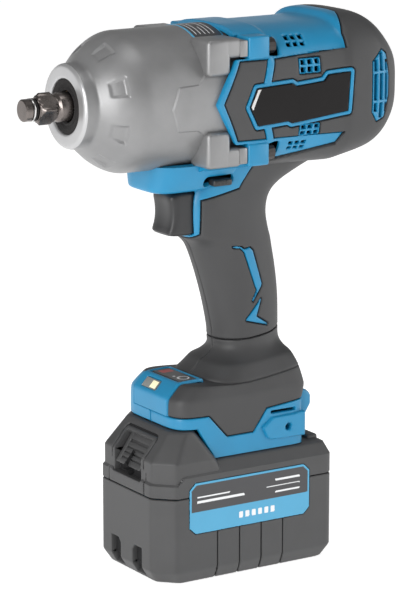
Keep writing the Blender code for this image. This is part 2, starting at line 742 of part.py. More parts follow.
def build_gears():
    sun_phase = PLANET_ANGLES[0]
    sun = gear_outline(SUN_TEETH, DEDENDUM, ADDENDUM, BACKLASH, sun_phase)
    pinion = prism("sun_pinion", sun, "X", GEAR_FRONT_X, GEAR_REAR_X)
    bore = cylinder("bore", "X", (0, AXIS_Z), -40, 0, 4.3, 12)
    finish_piece(cut(pinion, bore), "steel")
    for index, angle in enumerate(PLANET_ANGLES, 1):
        centre = turn_point(PLANET_ORBIT, angle)
        outline = gear_outline(
            PLANET_TEETH, DEDENDUM, ADDENDUM, BACKLASH, planet_phase(angle, sun_phase), centre, 1
        )
        gear = prism(f"planet_gear_{index}", outline, "X", GEAR_FRONT_X, GEAR_REAR_X)
        finish_piece(cut(gear, cylinder("bore", "X", centre, -40, 0, 3.45, 12)), "steel")
    first = PLANET_ANGLES[0]
    ring_phase = first - PLANET_TEETH * (first - planet_phase(first, sun_phase)) / RING_TEETH
    spaces = gear_outline(RING_TEETH, ADDENDUM, DEDENDUM, -BACKLASH, ring_phase, steps=1)
    blank = cylinder("ring_gear", "X", (0, AXIS_Z), GEAR_FRONT_X, GEAR_REAR_X + 0.2, 34.9, 24)
    finish_piece(cut(blank, prism("spaces", spaces, "X", -40, 0)), "steel")
    plate = [
        (-13.9, 18.8), (-13.9, 34.9), (1.2, 34.9), (1.2, 9.8), (-5.2, 9.8), (-5.2, 8.2), (-7.0, 8.2), (-7.0, 18.8),
    ]
    finish_piece(turned("gearbox_plate", plate, 20), "black_plastic")


# ---------------------------------------------------------------- motor


def bearing(name, front, rear, inner, outer, sides=14):
    """A ball bearing seen as its two races and the shields between them."""
    step = (outer - inner) / 4
    profile = [
        (front, inner), (front, inner + step), (front + 0.5, inner + step), (front + 0.5, outer - step),
        (front, outer - step), (front, outer), (rear, outer), (rear, inner),
    ]
    finish_piece(turned(name, profile, sides), "steel")


def build_motor():
    finish_piece(turned("rotor_shaft", [(-29.3, 0), (-29.3, 3.9), (91.5, 3.9), (91.5, 0)], 14), "steel")
    core = [(22, 4.2), (22, 15.0), (54, 15.0), (54, 4.2)]
    finish_piece(turned("rotor_core", core, 20), "dark_steel")
    bearing("front_motor_bearing", -4.9, 0.9, 4.2, 9.5)
    bearing("rear_motor_bearing", 84.0, 90.0, 4.2, 9.5)
    bearing("spindle_bearing", -13.6, -7.3, 12.8, 18.5)
    build_stator()
    build_fan()
    board = [(58.6, 8.0), (58.6, 27.0), (60.2, 27.0), (60.2, 8.0)]
    finish_piece(turned("sensor_board", board, 20), "board")


def build_stator():
    """Six wide teeth on a ring, and a copper winding that fills the slots between them."""
    ring = [(22, 24.0), (22, 30.0), (54, 30.0), (54, 24.0)]
    teeth = [sector("tooth", 22.2, 53.8, 15.7, 25.0, 60 * k, 17) for k in range(6)]
    finish_piece(joined(turned("stator_core", ring, 20), *teeth), "dark_steel")
    front = turned("stator_winding", [(15.5, 17.0), (15.5, 27.5), (21.6, 27.5), (21.6, 17.0)], 20)
    rear = turned("rear_turns", [(54.4, 17.0), (54.4, 27.5), (57.8, 27.5), (57.8, 17.0)], 20)
    bars = [sector("bar", 20, 56, 17.5, 23.4, 60 * k + 30, 10.5) for k in range(6)]
    finish_piece(joined(front, rear, *bars), "copper")


def build_fan():
    hub = [(62.5, 4.2), (62.5, 8.0), (69.0, 8.0), (69.0, 28.5), (70.6, 28.5), (70.6, 4.2)]
    blades = []
    for k in range(9):
        blade = box("blade", (63.2, 6.8, -0.7), (69.6, 27.8, 0.7))
        blade.rotation_euler = (math.radians(40 * k), 0, 0)
        blade.location = (0, 0, AXIS_Z * MM)
        blades.append(baked(blade))
    finish_piece(joined(turned("cooling_fan", hub, 20), *blades), "black_plastic")


# ---------------------------------------------------------------- grip controls and foot


LEVER_PIVOT = (-9.1, 0.0)


def build_controls():
    """Trigger and its switch, the direction lever, the control panel, the work light and the electronics."""
    finger = (
        (-33.4, 213.4), (-34.6, 210.8), (-33.3, 205.5), (-33.2, 200), (-34.2, 194.6), (-35.6, 191.4),
        (-34.4, 189.6), (-24, 189.4), (-16, 189.4), (-16, 213.4),
    )
    trigger = prism("trigger", finger, "Y", -11, 11)
    finish_piece(joined(trigger, cylinder("rod", "X", (0, 203), -17, -3.5, 2.3, 12)), "black_plastic")
    switch = box("trigger_switch", (-6.9, -9.4, 189), (17.6, 9.4, 216.2), 0.8)
    bracket = box("bracket", (-13.6, -6, 214.6), (-4, 6, 216.2))
    pin = cylinder("pin", "Z", LEVER_PIVOT, 215, 222, 1.9, 14)
    hole = cylinder("hole", "X", (0, 203), -8, 8, 2.8, 14)
    finish_piece(cut(joined(switch, bracket, pin), hole), "black_plastic")
    arm = box("direction_lever", (-13.1, -20, 218), (-5.1, 20, 221.4))
    tips = [
        box("tip", (-15.2, y - 3.2, 217.9), (-3.0, y + 3.2, 221.6), 0.8) for y in (-22.0, 22.0)
    ]
    pivot = cylinder("pivot", "Z", LEVER_PIVOT, 210, 230, 2.3, 14)
    finish_piece(cut(joined(arm, *tips), pivot), "black_plastic")

    bezel_outline = (
        (-41.2, 91.5), (-41.2, 101.0), (-33.6, 109.4), (-17.2, 109.9), (-17.2, 105), (-31.5, 104.4),
        (-36.5, 99.0), (-36.5, 91.5),
    )
    bezel = prism("control_panel", bezel_outline, "Y", -17.6, 17.6)
    window = box("window", (-60, -2.5, 102.7), (-20, 12.3, 107.2))
    button_hole = box("button_hole", (-31.2, -15.2, 90), (-18.8, 15.2, 120))
    finish_piece(cut(bezel, window, button_hole), "blue_nylon")
    lens_outline = ((-39.4, 103.0), (-35.9, 106.9), (-33.0, 106.9), (-33.0, 103.0))
    finish_piece(prism("work_light_lens", lens_outline, "Y", -2.2, 12.0), "lens")
    cap = box("mode_button", (-30.9, -14.9, 106.4), (-19.1, 14.9, 109.8), 0.6)
    finish_piece(cap, "black_plastic")

    board = box("motor_controller", (-28, -19, 86.4), (24, 19, 98.5), 1.0)
    finish_piece(board, "board")
    block = box("terminal_block", (27, -19, 70.5), (40.2, 19, 83.4))
    blades = [box("blade", (18, y - 0.6, 71.0), (28, y + 0.6, 74.8)) for y in (-11, 0, 11)]
    finish_piece(joined(block, *blades), "black_plastic")


# ---------------------------------------------------------------- battery


def battery_ring(z, front, rear, half_width, front_cut=10.4, rear_cut=2.5):
    return [
        (front, -half_width + front_cut, z), (front + front_cut, -half_width, z),
        (rear - rear_cut, -half_width, z), (rear, -half_width + rear_cut, z),
        (rear, half_width - rear_cut, z), (rear - rear_cut, half_width, z),
        (front + front_cut, half_width, z), (front, half_width - front_cut, z),
    ]


def battery_body(name, levels):
    return loft(name, [battery_ring(*level) for level in levels])


def build_battery():
    half_length, half_width = BATTERY_LENGTH / 2, BATTERY_WIDTH / 2
    wall = 2.2
    inner = (half_length - wall, half_width - wall)
    lower = battery_body(
        "battery_case_lower",
        [
            (0, -half_length + 4.5, half_length - 4, half_width - 3),
            (7, -half_length, half_length, half_width),
            (BATTERY_SEAM_Z - GAP / 2, -half_length, half_length, half_width),
        ],
    )
    room = battery_body(
        "room",
        [
            (2.4, -inner[0] + 4, inner[0] - 4, inner[1] - 2.4, 9.5, 2.5),
            (8, -inner[0], inner[0], inner[1], 9.5, 2.5),
            (60, -inner[0], inner[0], inner[1], 9.5, 2.5),
        ],
    )
    grooves = []
    for side in (-1, 1):
        for x in (-19.9, -5.2, 9.1, 23.4):
            grooves.append(box("groove", *side_box((x - 0.5, x + 0.5), (half_width - 0.7, 60), (-5, 40), side)))
        grooves.append(box("notch", *side_box((-60, -50.5), (6, 16.5), (-5, 17), side)))
    label_cuts = [label_prism("label_room", side, GAP, half_width - 0.65, 60) for side in (-1, 1)]
    upper_cuts = [duplicate(tool, "upper_label_room") for tool in label_cuts]
    finish_piece(cut(lower, room, *grooves, *label_cuts), "battery_plastic")
    build_battery_top(half_length, half_width, inner, upper_cuts)
    for side, label in ((-1, "left"), (1, "right")):
        sticker = label_prism(f"battery_label_{label}", side, 0, half_width - 0.35, half_width + 0.15)
        finish_piece(sticker, "label")
    build_battery_inside()


def label_prism(name, side, growth, near, far):
    outline = ((-38.4, 31.5), (-34.6, 27.7), (37.4, 27.7), (41.2, 31.5), (41.2, 53.2), (37.4, 57), (-34.6, 57), (-38.4, 53.2))
    return prism(name, grown(outline, growth), "Y", *sorted((side * near, side * far)))


def build_battery_top(half_length, half_width, inner, label_cuts):
    """The upper case: rails and terminals behind, and the raised block with the release latch in front."""
    seam = BATTERY_SEAM_Z + GAP / 2
    case = battery_body(
        "battery_case_upper",
        [
            (seam, -half_length, half_length, half_width),
            (BATTERY_WALL_TOP_Z, -half_length, half_length, half_width),
            (FOOT_BASE_Z - 0.5, -half_length + 5, half_length - 1.8, 31.5, 9.0, 2.5),
        ],
    )
    block = battery_body(
        "block",
        [
            (58, -half_length + 0.6, -12.6, half_width - 0.5),
            (BATTERY_WALL_TOP_Z, -half_length + 0.6, -14.6, half_width - 0.5),
            (80.7, -43.0, -26.9, 29.0, 7.0, 2.0),
        ],
    )
    neck = box("neck", (-30, -17.7, 60), (25.5, 17.7, 75.9))
    head = box("head", (-30, -22.5, 72.2), (25.5, 22.5, 75.9))
    nub = box("nub", (48, -24, 62), (55.4, 24, 69), 1.0)
    room = battery_body(
        "room",
        [
            (40, -inner[0], inner[0], inner[1], 9.5, 2.5),
            (BATTERY_WALL_TOP_Z - 1, -inner[0], inner[0], inner[1], 9.5, 2.5),
            (FOOT_BASE_Z - 3, -inner[0] + 5, inner[0] - 1.8, 29.5, 9.0, 2.5),
        ],
    )
    tower = box("tower", (-26, -15.4, 60), (23.2, 15.4, 73.6))
    slots = [box("slot", (10, y - 1.3, 70), (40, y + 1.3, 75.2)) for y in (-11, 0, 11)]
    latch_room = box("latch_room", (-70, -12.6, 56.5), (-33.6, 12.6, 90))
    case = cut(joined(case, block, neck, head, nub), room, tower, latch_room, *slots, *label_cuts)
    finish_piece(case, "battery_plastic")

    outline = ((-55.8, 62.6), (-44.0, 79.0), (-39.6, 80.9), (-39.2, 84.2), (-36.6, 84.2), (-34.2, 80.9), (-34.2, 62.6))
    latch = prism("battery_latch", outline, "Y", -12.2, 12.2)
    tooth_trim = [
        box("trim", *side_box((-45, -30), (7.9, 20), (81.0, 90), side)) for side in (-1, 1)
    ]
    ribs = []
    for k in range(4):
        x, z = -54.3 + 2.6 * k, 64.9 + 3.6 * k
        ribs.append(box("rib_gap", (x - 6, -9.5, z - 0.5), (x + 1.1, 9.5, z + 0.5)))
    well = cylinder("well", "Z", (-42, 0), 50, 68.4, 4.6, 16)
    finish_piece(cut(latch, *tooth_trim, *ribs, well), "black_plastic")
    build_spring("latch_spring", "Z", (-42, 0, 0), 54.6, 66.8, 3.2, 0.5, 4, 8)


def build_battery_inside():
    """Ten cells in two rows, joined by their nickel strips, and the board over them."""
    cells = []
    for row in range(2):
        for column in range(5):
            x = (column - 2) * CELL_PITCH
            z = 14.0 + row * CELL_PITCH
            name = "battery_cells" if not cells else "cell"
            cells.append(cylinder(name, "Y", (x, z), -CELL_LENGTH / 2, CELL_LENGTH / 2, CELL_RADIUS, 8))
    strips = [box("strip", *side_box((-42, 42), (32.2, 32.9), (11, 36), side)) for side in (-1, 1)]
    finish_piece(joined(cells[0], *cells[1:], *strips), "cell_wrap")
    board = box("battery_board", (-36, -30, 50.5), (46, 30, 52.2))
    perch = box("perch", (-46.5, -6, 50.5), (-34, 6, 53.0))
    posts = [box("post", (12, y - 3, 51), (22, y + 3, 73)) for y in (-11, 0, 11)]
    gaps = [box("gap", (10, y - 1.2, 69.5), (30, y + 1.2, 80)) for y in (-11, 0, 11)]
    finish_piece(cut(joined(board, perch, *posts), *gaps), "board")


# ---------------------------------------------------------------- joints


def pivot(name, place, members):
    """An empty on a joint's axis, with the pieces that it moves as its children."""
    empty = bpy.data.objects.new(name, None)
    empty.location = Vector(place) * MM
    collection().objects.link(empty)
    for member in members:
        obj = bpy.data.objects[member]
        obj.parent = empty
        obj.location = obj.location - empty.location
    return empty


def build_joints():
    spindle = pivot("spindle_axis", (-31, 0, AXIS_Z), ["cam_spindle", "cam_ball_1", "cam_ball_2", "spring_seat"])
    hammer = pivot("hammer_axis", (-56, 0, AXIS_Z), ["hammer", "hammer_spring"])
    hammer.parent = spindle
    hammer.location = hammer.location - spindle.location
    pivot("anvil_axis", (-90, 0, AXIS_Z), ["anvil", "socket_ring", "ring_cushion"])
    pivot("rotor_axis", (38, 0, AXIS_Z), ["rotor_shaft", "rotor_core", "sun_pinion", "cooling_fan"])
    for index, angle in enumerate(PLANET_ANGLES, 1):
        y, z = turn_point(PLANET_ORBIT, angle)
        planet = pivot(f"planet_axis_{index}", (GEAR_FRONT_X, y, z), [f"planet_gear_{index}"])
        planet.parent = spindle
        planet.location = planet.location - spindle.location
    pivot("trigger_guide", (-17, 0, 203), ["trigger"])
    pivot("lever_pivot", (*LEVER_PIVOT, 219.7), ["direction_lever"])
    pivot("mode_button_guide", (-25, 0, 108), ["mode_button"])
    pack = pivot(
        "battery_rail",
        (0, 0, 70),
        [
            "battery_case_lower", "battery_case_upper", "battery_label_left", "battery_label_right",
            "battery_cells", "battery_board", "latch_spring",
        ],
    )
    latch = pivot("latch_guide", (-44, 0, 70), ["battery_latch"])
    latch.parent = pack
    latch.location = latch.location - pack.location


clear_scene()
build_housing()
build_nameplates()
build_hammer_case()
build_anvil()
build_hammer()
build_cam_spindle()
build_gears()
build_motor()
build_controls()
build_battery()
build_joints()
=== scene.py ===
"""Visual model of the cordless impact wrench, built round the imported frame.

Shapes are worked out in millimetres in the row frame and turned into metres when an object is made. The big
shells are dense grids over level sections. Each grid is cut along the outlines of its colours, grooves and
holes, so that every border is an exact edge, and each colour then becomes its own piece with a rounded rim.
"""

import math

import bmesh
import bpy
import numpy as np
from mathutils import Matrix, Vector


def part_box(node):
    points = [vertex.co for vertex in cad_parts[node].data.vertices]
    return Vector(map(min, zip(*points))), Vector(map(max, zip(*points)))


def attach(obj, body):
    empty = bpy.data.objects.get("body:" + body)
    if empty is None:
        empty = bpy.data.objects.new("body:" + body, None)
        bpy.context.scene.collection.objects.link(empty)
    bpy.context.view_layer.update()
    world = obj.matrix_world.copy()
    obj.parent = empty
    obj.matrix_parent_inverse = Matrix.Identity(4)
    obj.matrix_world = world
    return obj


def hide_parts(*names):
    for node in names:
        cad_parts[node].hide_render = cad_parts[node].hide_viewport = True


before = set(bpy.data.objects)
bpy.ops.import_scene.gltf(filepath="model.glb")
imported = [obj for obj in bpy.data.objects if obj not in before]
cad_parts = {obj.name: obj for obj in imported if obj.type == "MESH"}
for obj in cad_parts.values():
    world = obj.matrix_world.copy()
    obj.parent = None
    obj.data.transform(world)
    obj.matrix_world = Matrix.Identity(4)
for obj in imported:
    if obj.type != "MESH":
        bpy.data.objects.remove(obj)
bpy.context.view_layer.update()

MM = 0.001


def node_box(name):
    """The lowest and highest corners of a CAD node in millimetres."""
    low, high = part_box(name)
    return np.array(low) / MM, np.array(high) / MM


# ---------------------------------------------------------------- driving sizes

ANVIL_LOW, ANVIL_HIGH = node_box("anvil")
_, CASE_HIGH = node_box("hammer_case")
_, PACK_HIGH = node_box("battery_case_lower")
AXIS_Z = (ANVIL_LOW[2] + ANVIL_HIGH[2]) / 2
TIP_X = ANVIL_LOW[0]
DRIVE_SIDE = 12.7
DRIVE_ROLL_DEG = 43.0
CASE_REAR_X = CASE_HIGH[0]
CASE_RADIUS = 38.6
FOOT_BASE_Z = 67.5
PACK_HALF_LENGTH, PACK_HALF_WIDTH = PACK_HIGH[0], PACK_HIGH[1]
PACK_SEAM_Z = (PACK_HIGH[2] + node_box("battery_case_upper")[0][2]) / 2

FAR = 9.0           # a distance that means nowhere near
CELL = 1.0          # grid spacing on the shells
SNAP = 0.15         # a grid point this near an outline is moved onto it
# The gap is coloured near black as painted shade.
SEAM = 0.32         # half the black gap between two colours
RIM = 0.7           # radius of a moulded edge
RIM_STEP = 0.35     # share of that radius at which an extra row of points keeps the edge round

# Barrel sections: X, half width, top, bottom.
BARREL = (
    (-24, 41.6, 304.8, 225.2), (40, 41.6, 304.8, 225.0), (58, 41.8, 304.8, 224.5), (61, 42.2, 306.0, 224.6),
    (64, 43.1, 307.8, 225.4), (79, 43.1, 307.6, 228.6), (86, 41.8, 304.4, 231.2), (92, 39.2, 298.5, 236.0),
    (98, 34.7, 291.7, 243.5), (101, 29.6, 286.5, 249.0), (102.2, 22.0, 280.0, 254.5),
)
BARREL_SQUARENESS = 3.4

# Grip and foot sections: Z, front X, rear X, half width, squareness in front and behind, and how far the
# section rises towards its rear and towards its front.
STEM = (
    (240, -12, 84, 26.0, 3.0, 3.0, 0, 0), (234, -13, 76, 24.8, 3.0, 3.0, 0, 0),
    (228, -14, 64, 23.6, 3.0, 3.0, 0, 0), (221, -18, 49.5, 20.3, 3.0, 3.0, 0, 0),
    (214.5, -21.5, 37.6, 17.9, 3.2, 3.0, 0, 0), (208, -22.8, 31.4, 17.4, 3.4, 3.0, 0, 0),
    (198, -22.6, 29.6, 17.3, 3.4, 3.0, 0, 0), (188, -22.4, 31.8, 17.3, 3.2, 3.0, 0, 0),
    (183.5, -16.4, 33.8, 16.9, 2.7, 2.7, 0, 0),
    (178, -14.2, 35.6, 16.9, 2.3, 2.3, 0, 0), (166, -9.7, 37.9, 16.9, 2.3, 2.3, 0, 0),
    (150, -4.8, 39.7, 16.9, 2.3, 2.3, 0, 0), (133, -1.0, 39.7, 16.9, 2.3, 2.3, 0.5, 0),
    (127, -0.8, 39.6, 16.9, 2.3, 2.3, 1.5, 0), (123.5, -0.2, 39.6, 17.3, 2.3, 2.4, 2.5, 0),
    (120.5, -1.6, 39.8, 18.8, 2.4, 2.7, 3.2, 0), (117.5, -5.0, 40.2, 21.3, 2.6, 3.6, 3.8, 0),
    (115.9, -8.6, 40.6, 23.2, 2.8, 5.0, 4.0, 0), (115.0, -9.6, 40.8, 23.9, 2.9, 6.0, 4.0, 0),
    (108.3, -14.6, 41.7, 26.8, 3.3, 11.0, 4.8, 3.6), (107.4, -15.3, 41.9, 27.2, 3.4, 12.0, 4.8, 4.8),
    (106.7, -15.0, 41.7, 26.9, 3.4, 12.0, 4.8, 4.4), (106.6, -16.4, 41.8, 27.2, 3.6, 12.0, 4.8, 2.8),
    (106.6, -32.0, 42.0, 27.9, 5.0, 12.0, 4.8, 2.4), (106.0, -34.0, 42.1, 28.3, 5.2, 12.0, 4.6, 2.4),
    (101.2, -39.8, 43.0, 30.1, 5.8, 18.0, 1.9, 0.8), (100.2, -40.6, 43.1, 30.4, 5.9, 19.0, 1.7, 0.6),
    (98.6, -41.0, 43.0, 30.5, 6.0, 18.0, 1.2, 0.3), (92, -41.2, 41.6, 30.5, 6.0, 14.0, 0, 0),
    (FOOT_BASE_Z, -41.0, 42.0, 30.5, 6.0, 16.0, 0, 0),
)
REAR_RISE_X, FRONT_RISE_X = (5.0, 42.0), (-5.0, -33.0)

# The chin under the hammer case, in the same order.
CHIN = (
    (230.4, -48, 12, 24.4, 4.0), (222, -48, 8, 21.5, 4.0), (218, -48, -6, 19.5, 4.0),
    (216, -47.6, -10, 18.6, 4.0), (215.2, -45.5, -13, 16.5, 4.0),
)

# Side outlines in (X, Z).
RUBBER_OUTLINE = (
    (-60, 184.5), (-24, 184.5), (-17.2, 190), (-17, 209), (5.8, 214), (12.9, 229.8), (56, 237), (60, 243.5),
    (-9.5, 244.5), (-19, 265.4), (-8, 287.5), (14.6, 287.4), (60, 290.5), (61, 304), (63, 314), (120, 314),
    (120, 60), (46, 60), (46, 93.4), (39, 93.1), (16.3, 90.9), (7.4, 78.6), (-9.8, 78.6), (-21.5, 91.6),
    (-60, 91.6),
)
FRONT_CUT_OUTLINE = (
    (-70, 330), (-5.6, 330), (-5.6, 301), (-3, 300.8), (-3, 288.8), (-10.4, 288.8), (-23.6, 265.4),
    (-10.8, 242.4), (-3, 242.4), (-3, 229.9), (-70, 229.9),
)
FOOT_SEAM_Z = 91.4
FOOT_STEP_OUTLINE = ((-60, 60), (-60, 85.0), (-28.7, 85.0), (-17.8, 67.0), (-17.8, 60))
NAMEPLATE_OUTLINE = (
    (-3.0, 262.5), (1.5, 272.5), (24.5, 273.6), (27, 271.8), (45, 273.2), (48, 276.5), (62.5, 277.2),
    (61.0, 255.6), (24.5, 251.8), (22, 253.2), (2.5, 252.0),
)
STRIPES = (
    ((10.0, 289.0), (15.0, 289.0), (11.0, 274.0), (5.8, 274.0)),
    ((5.4, 253.5), (10.6, 253.5), (14.2, 243.0), (9.2, 243.0)),
)
VENT_OUTLINE = (
    (84.1, 288.0), (76.8, 281.4), (76.8, 253.4), (80.8, 247.6), (86.4, 249.6), (89.6, 262.0), (89.6, 273.0),
    (87.6, 285.6),
)
GRIP_BAR_OUTLINE = (
    (2.2, 181.6), (8.2, 180.9), (10.2, 179.6), (13.8, 180.2), (16.0, 178.2), (22.2, 158.6), (21.6, 157.0),
    (16.0, 148.6), (15.2, 149.4), (18.2, 155.4), (17.2, 157.2), (9.8, 177.4), (7.2, 180.0), (2.4, 180.6),
)
GRIP_ARROW_OUTLINE = (
    (21.2, 150.6), (21.6, 149.6), (18.6, 140.4), (26.2, 135.6), (25.8, 134.4), (11.6, 138.2), (11.8, 139.6),
)
FRAME_WIDTH = 2.5
GRILLE_COUNT, GRILLE_RIM, GRILLE_BAR, GRILLE_LEAN = (3, 2), 0.9, 1.3, 0.3
# The rubber's front edge on top of the barrel: straight at the sides, slanted back, straight again.
COLLAR_X, COLLAR_SET_BACK, COLLAR_SIDE_Y, COLLAR_SLANT = 61.0, 8.0, 35.0, 17.6

SCREW_LEVELS = (AXIS_Z + 29.0, AXIS_Z - 29.0)
SIDES = ((-1, "left"), (1, "right"))


# ---------------------------------------------------------------- outlines and fields


def to_outline(points, outline):
    """Signed distance from each (u, v) point to an outline: negative inside it."""
    corners = np.array(outline, float)
    ends = np.roll(corners, -1, axis=0)
    u, v = points[:, 0], points[:, 1]
    nearest = np.full(len(points), np.inf)
    inside = np.zeros(len(points), bool)
    for (au, av), (bu, bv) in zip(corners, ends):
        length_squared = (bu - au) ** 2 + (bv - av) ** 2
        along = np.clip(((u - au) * (bu - au) + (v - av) * (bv - av)) / length_squared, 0, 1)
        nearest = np.minimum(nearest, np.hypot(u - au - along * (bu - au), v - av - along * (bv - av)))
        if av != bv:
            crosses = ((av > v) != (bv > v)) & (u < au + (v - av) * (bu - au) / (bv - av))
            inside ^= crosses
    return np.where(inside, -nearest, nearest)


def to_box(points, low, high, radius=0.0):
    """Signed distance from each (u, v) point to a rectangle with rounded corners."""
    middle = (np.array(low) + np.array(high)) / 2
    half = (np.array(high) - np.array(low)) / 2 - radius
    over = np.abs(points - middle) - half
    return np.hypot(*np.maximum(over, 0).T) + np.minimum(over.max(axis=1), 0) - radius


def side(points):
    """A point's (X, Z), which the side outlines are drawn in."""
    return points[:, [0, 2]]


def nearest_of(*distances):
    return np.minimum.reduce(distances)


def grille_holes(low, high):
    """The holes of a grille as rectangles, each row pushed a little further along X."""
    low, high = np.array(low) + GRILLE_RIM, np.array(high) - GRILLE_RIM
    size = (high - low - GRILLE_BAR * (np.array(GRILLE_COUNT) - 1)) / GRILLE_COUNT
    corners = [
        low + (column * (size[0] + GRILLE_BAR) + GRILLE_LEAN * row, row * (size[1] + GRILLE_BAR))
        for row in range(GRILLE_COUNT[1]) for column in range(GRILLE_COUNT[0])
    ]
    return [(tuple(corner), tuple(corner + size)) for corner in corners]


def to_holes(points, holes, radius=0.3):
    return nearest_of(*(to_box(points, low, high, radius) for low, high in holes))


# ---------------------------------------------------------------- meshes cut along fields


def cut_corners(rows, share=0.25):
    """A line of rows with its corners cut and its ends kept."""
    near = rows[:-1] * (1 - share) + rows[1:] * share
    far = rows[:-1] * share + rows[1:] * (1 - share)
    return np.vstack([rows[:1], np.stack([near, far], 1).reshape(-1, rows.shape[1]), rows[-1:]])


def travelled(gaps):
    """How far along a line each of its rows lies, given the gaps between them."""
    return np.concatenate([[0], np.cumsum(gaps)])


def section_gaps(rows):
    """The furthest that the surface moves between sections."""
    return np.abs(np.diff(rows[:, :4], axis=0)).max(axis=1)


def line_gaps(rows):
    """The distances between the points of a line."""
    return np.hypot(*np.diff(rows, axis=0).T)


def at_places(rows, length, places):
    """The rows read off at other places along their line."""
    return np.stack([np.interp(places, length, column) for column in rows.T], 1)


def at_steps(rows, gaps, step):
    """The rows read off at even steps from the first to the last."""
    length = travelled(gaps)
    return at_places(rows, length, np.linspace(0, length[-1], int(length[-1] / step) + 1))


def round_loop(rows, count):
    """Evenly spaced points round a closed line, without its last point, which is its first."""
    length = travelled(line_gaps(rows))
    return at_places(rows, length, np.linspace(0, length[-1], count, endpoint=False))


def smooth_table(table, passes=2, step=CELL):
    """The sections of a table with their corners rounded, at even steps along the surface."""
    rows = np.array(table, float)
    for _ in range(passes):
        rows = cut_corners(rows)
    return at_steps(rows, section_gaps(rows), step)


def ring(half_u, half_v, squareness, count, plus_u=None):
    """Points at even steps round a superellipse, from its +u end. plus_u is the squareness of its +u half."""
    turn = np.linspace(0, 2 * math.pi, 1441)
    power = np.where(np.cos(turn) > 0, 2 / (plus_u or squareness), 2 / squareness)
    u = np.sign(np.cos(turn)) * np.abs(np.cos(turn)) ** power * half_u
    v = np.sign(np.sin(turn)) * np.abs(np.sin(turn)) ** power * half_v
    return round_loop(np.stack([u, v], 1), count).T


def halved(a, b, c, d):
    """Two triangles for each cell of a grid, given the points at its corners."""
    return np.concatenate([np.stack(corners, -1).reshape(-1, 3) for corners in ((a, b, c), (a, c, d))])


def grid_faces(rows, columns):
    index = np.arange(rows * columns).reshape(rows, columns)
    here, beside = index[:-1], np.roll(index, -1, axis=1)[:-1]
    below, across = index[1:], np.roll(index, -1, axis=1)[1:]
    return halved(here, beside, across, below)


def facing_out(points, faces):
    """The faces, turned if they enclose a negative volume."""
    a, b, c = (points[faces[:, i]] - points.mean(axis=0) for i in range(3))
    return faces if np.einsum("ij,ij->i", a, np.cross(b, c)).sum() > 0 else faces[:, ::-1]


def skin(rings, cap_first=False, cap_last=False):
    """A closed grid over rings of the same number of points. A capped end is filled by shrinking its ring."""
    rings = list(rings)
    shrink = np.linspace(1, 0, 14)[1:]
    if cap_first:
        rings = [rings[0].mean(axis=0) + (rings[0] - rings[0].mean(axis=0)) * s for s in shrink[::-1]] + rings
    if cap_last:
        rings = rings + [rings[-1].mean(axis=0) + (rings[-1] - rings[-1].mean(axis=0)) * s for s in shrink]
    points = np.concatenate(rings)
    faces = grid_faces(len(rings), len(rings[0]))
    return points, facing_out(points, faces)


def cut_along(points, faces, field):
    """Splits each triangle that the field's zero line crosses. Points near the line move onto it first."""
    value = field(points)
    near = np.abs(value) < SNAP
    if near.any():
        step = 0.05
        slope = np.stack([
            (field(points[near] + step * np.eye(3)[axis]) - value[near]) / step for axis in range(3)
        ], 1)
        size = np.maximum((slope ** 2).sum(axis=1), 0.25)
        points = points.copy()
        points[near] -= slope * (value[near] / size)[:, None]
        value[near] = 0
    sign = np.sign(value)[faces]
    mixed = (sign.min(axis=1) < 0) & (sign.max(axis=1) > 0)
    if not mixed.any():
        return points, faces
    whole, crossed, sign = faces[~mixed], faces[mixed], sign[mixed]
    on_line = (sign == 0).any(axis=1)
    alone = sign == -sign.sum(axis=1, keepdims=True)
    odd = np.where(on_line, (sign == 0).argmax(axis=1), alone.argmax(axis=1))
    turned = crossed[np.arange(len(crossed))[:, None], (odd[:, None] + np.arange(3)) % 3]
    a, b, c = turned.T
    first = np.where(on_line, b, a)
    second = np.where(on_line, c, b)
    edges = np.concatenate([np.stack([first, second], 1), np.stack([a, c], 1)[~on_line]])
    keys, where = np.unique(np.sort(edges, axis=1), axis=0, return_inverse=True)
    where = where.reshape(-1) + len(points)
    share = value[keys[:, 0]] / (value[keys[:, 0]] - value[keys[:, 1]])
    made = points[keys[:, 0]] + share[:, None] * (points[keys[:, 1]] - points[keys[:, 0]])
    middle = where[: len(crossed)]
    other = np.zeros(len(crossed), int)
    other[~on_line] = where[len(crossed):]
    halves = [(a, b, middle), (a, middle, c)]
    thirds = [(a, middle, other), (middle, b, c), (middle, c, other)]
    new = [np.stack(corners, 1)[on_line] for corners in halves]
    new += [np.stack(corners, 1)[~on_line] for corners in thirds]
    return np.concatenate([points, made]), np.concatenate([whole, *new])


def cut_levels(points, faces, field, levels):
    """Cuts a mesh where the field has each of the levels."""
    for value in levels:
        points, faces = cut_along(points, faces, lambda p, value=value: field(p) - value)
    return points, faces


def point_normals(points, faces):
    a, b, c = (points[faces[:, i]] for i in range(3))
    normal = np.cross(b - a, c - a)
    total = np.zeros_like(points)
    for i in range(3):
        np.add.at(total, faces[:, i], normal)
    return total / np.maximum(np.linalg.norm(total, axis=1), 1e-9)[:, None]


def region(points, faces, normals, keep, height, wall):
    """The kept faces as a mesh of their own, raised by height(points), with a wall down its rim."""
    faces = faces[keep]
    used, index = np.unique(faces, return_inverse=True)
    faces = index.reshape(-1, 3)
    base, normal = points[used], normals[used]
    top = base + normal * height(base)[:, None]
    if wall:
        edges = np.concatenate([faces[:, [0, 1]], faces[:, [1, 2]], faces[:, [2, 0]]])
        _, where, count = np.unique(np.sort(edges, axis=1), axis=0, return_inverse=True, return_counts=True)
        rim = edges[count[where.reshape(-1)] == 1]
        ends, index = np.unique(rim, return_inverse=True)
        index = index.reshape(-1, 2)
        low = base[ends] - normal[ends] * wall
        rim_low = index + len(top)
        a, b = rim.T
        d, c = rim_low.T
        faces = np.concatenate([faces, np.stack([b, a, d], 1), np.stack([b, d, c], 1)])
        top = np.concatenate([top, low])
    return top, faces


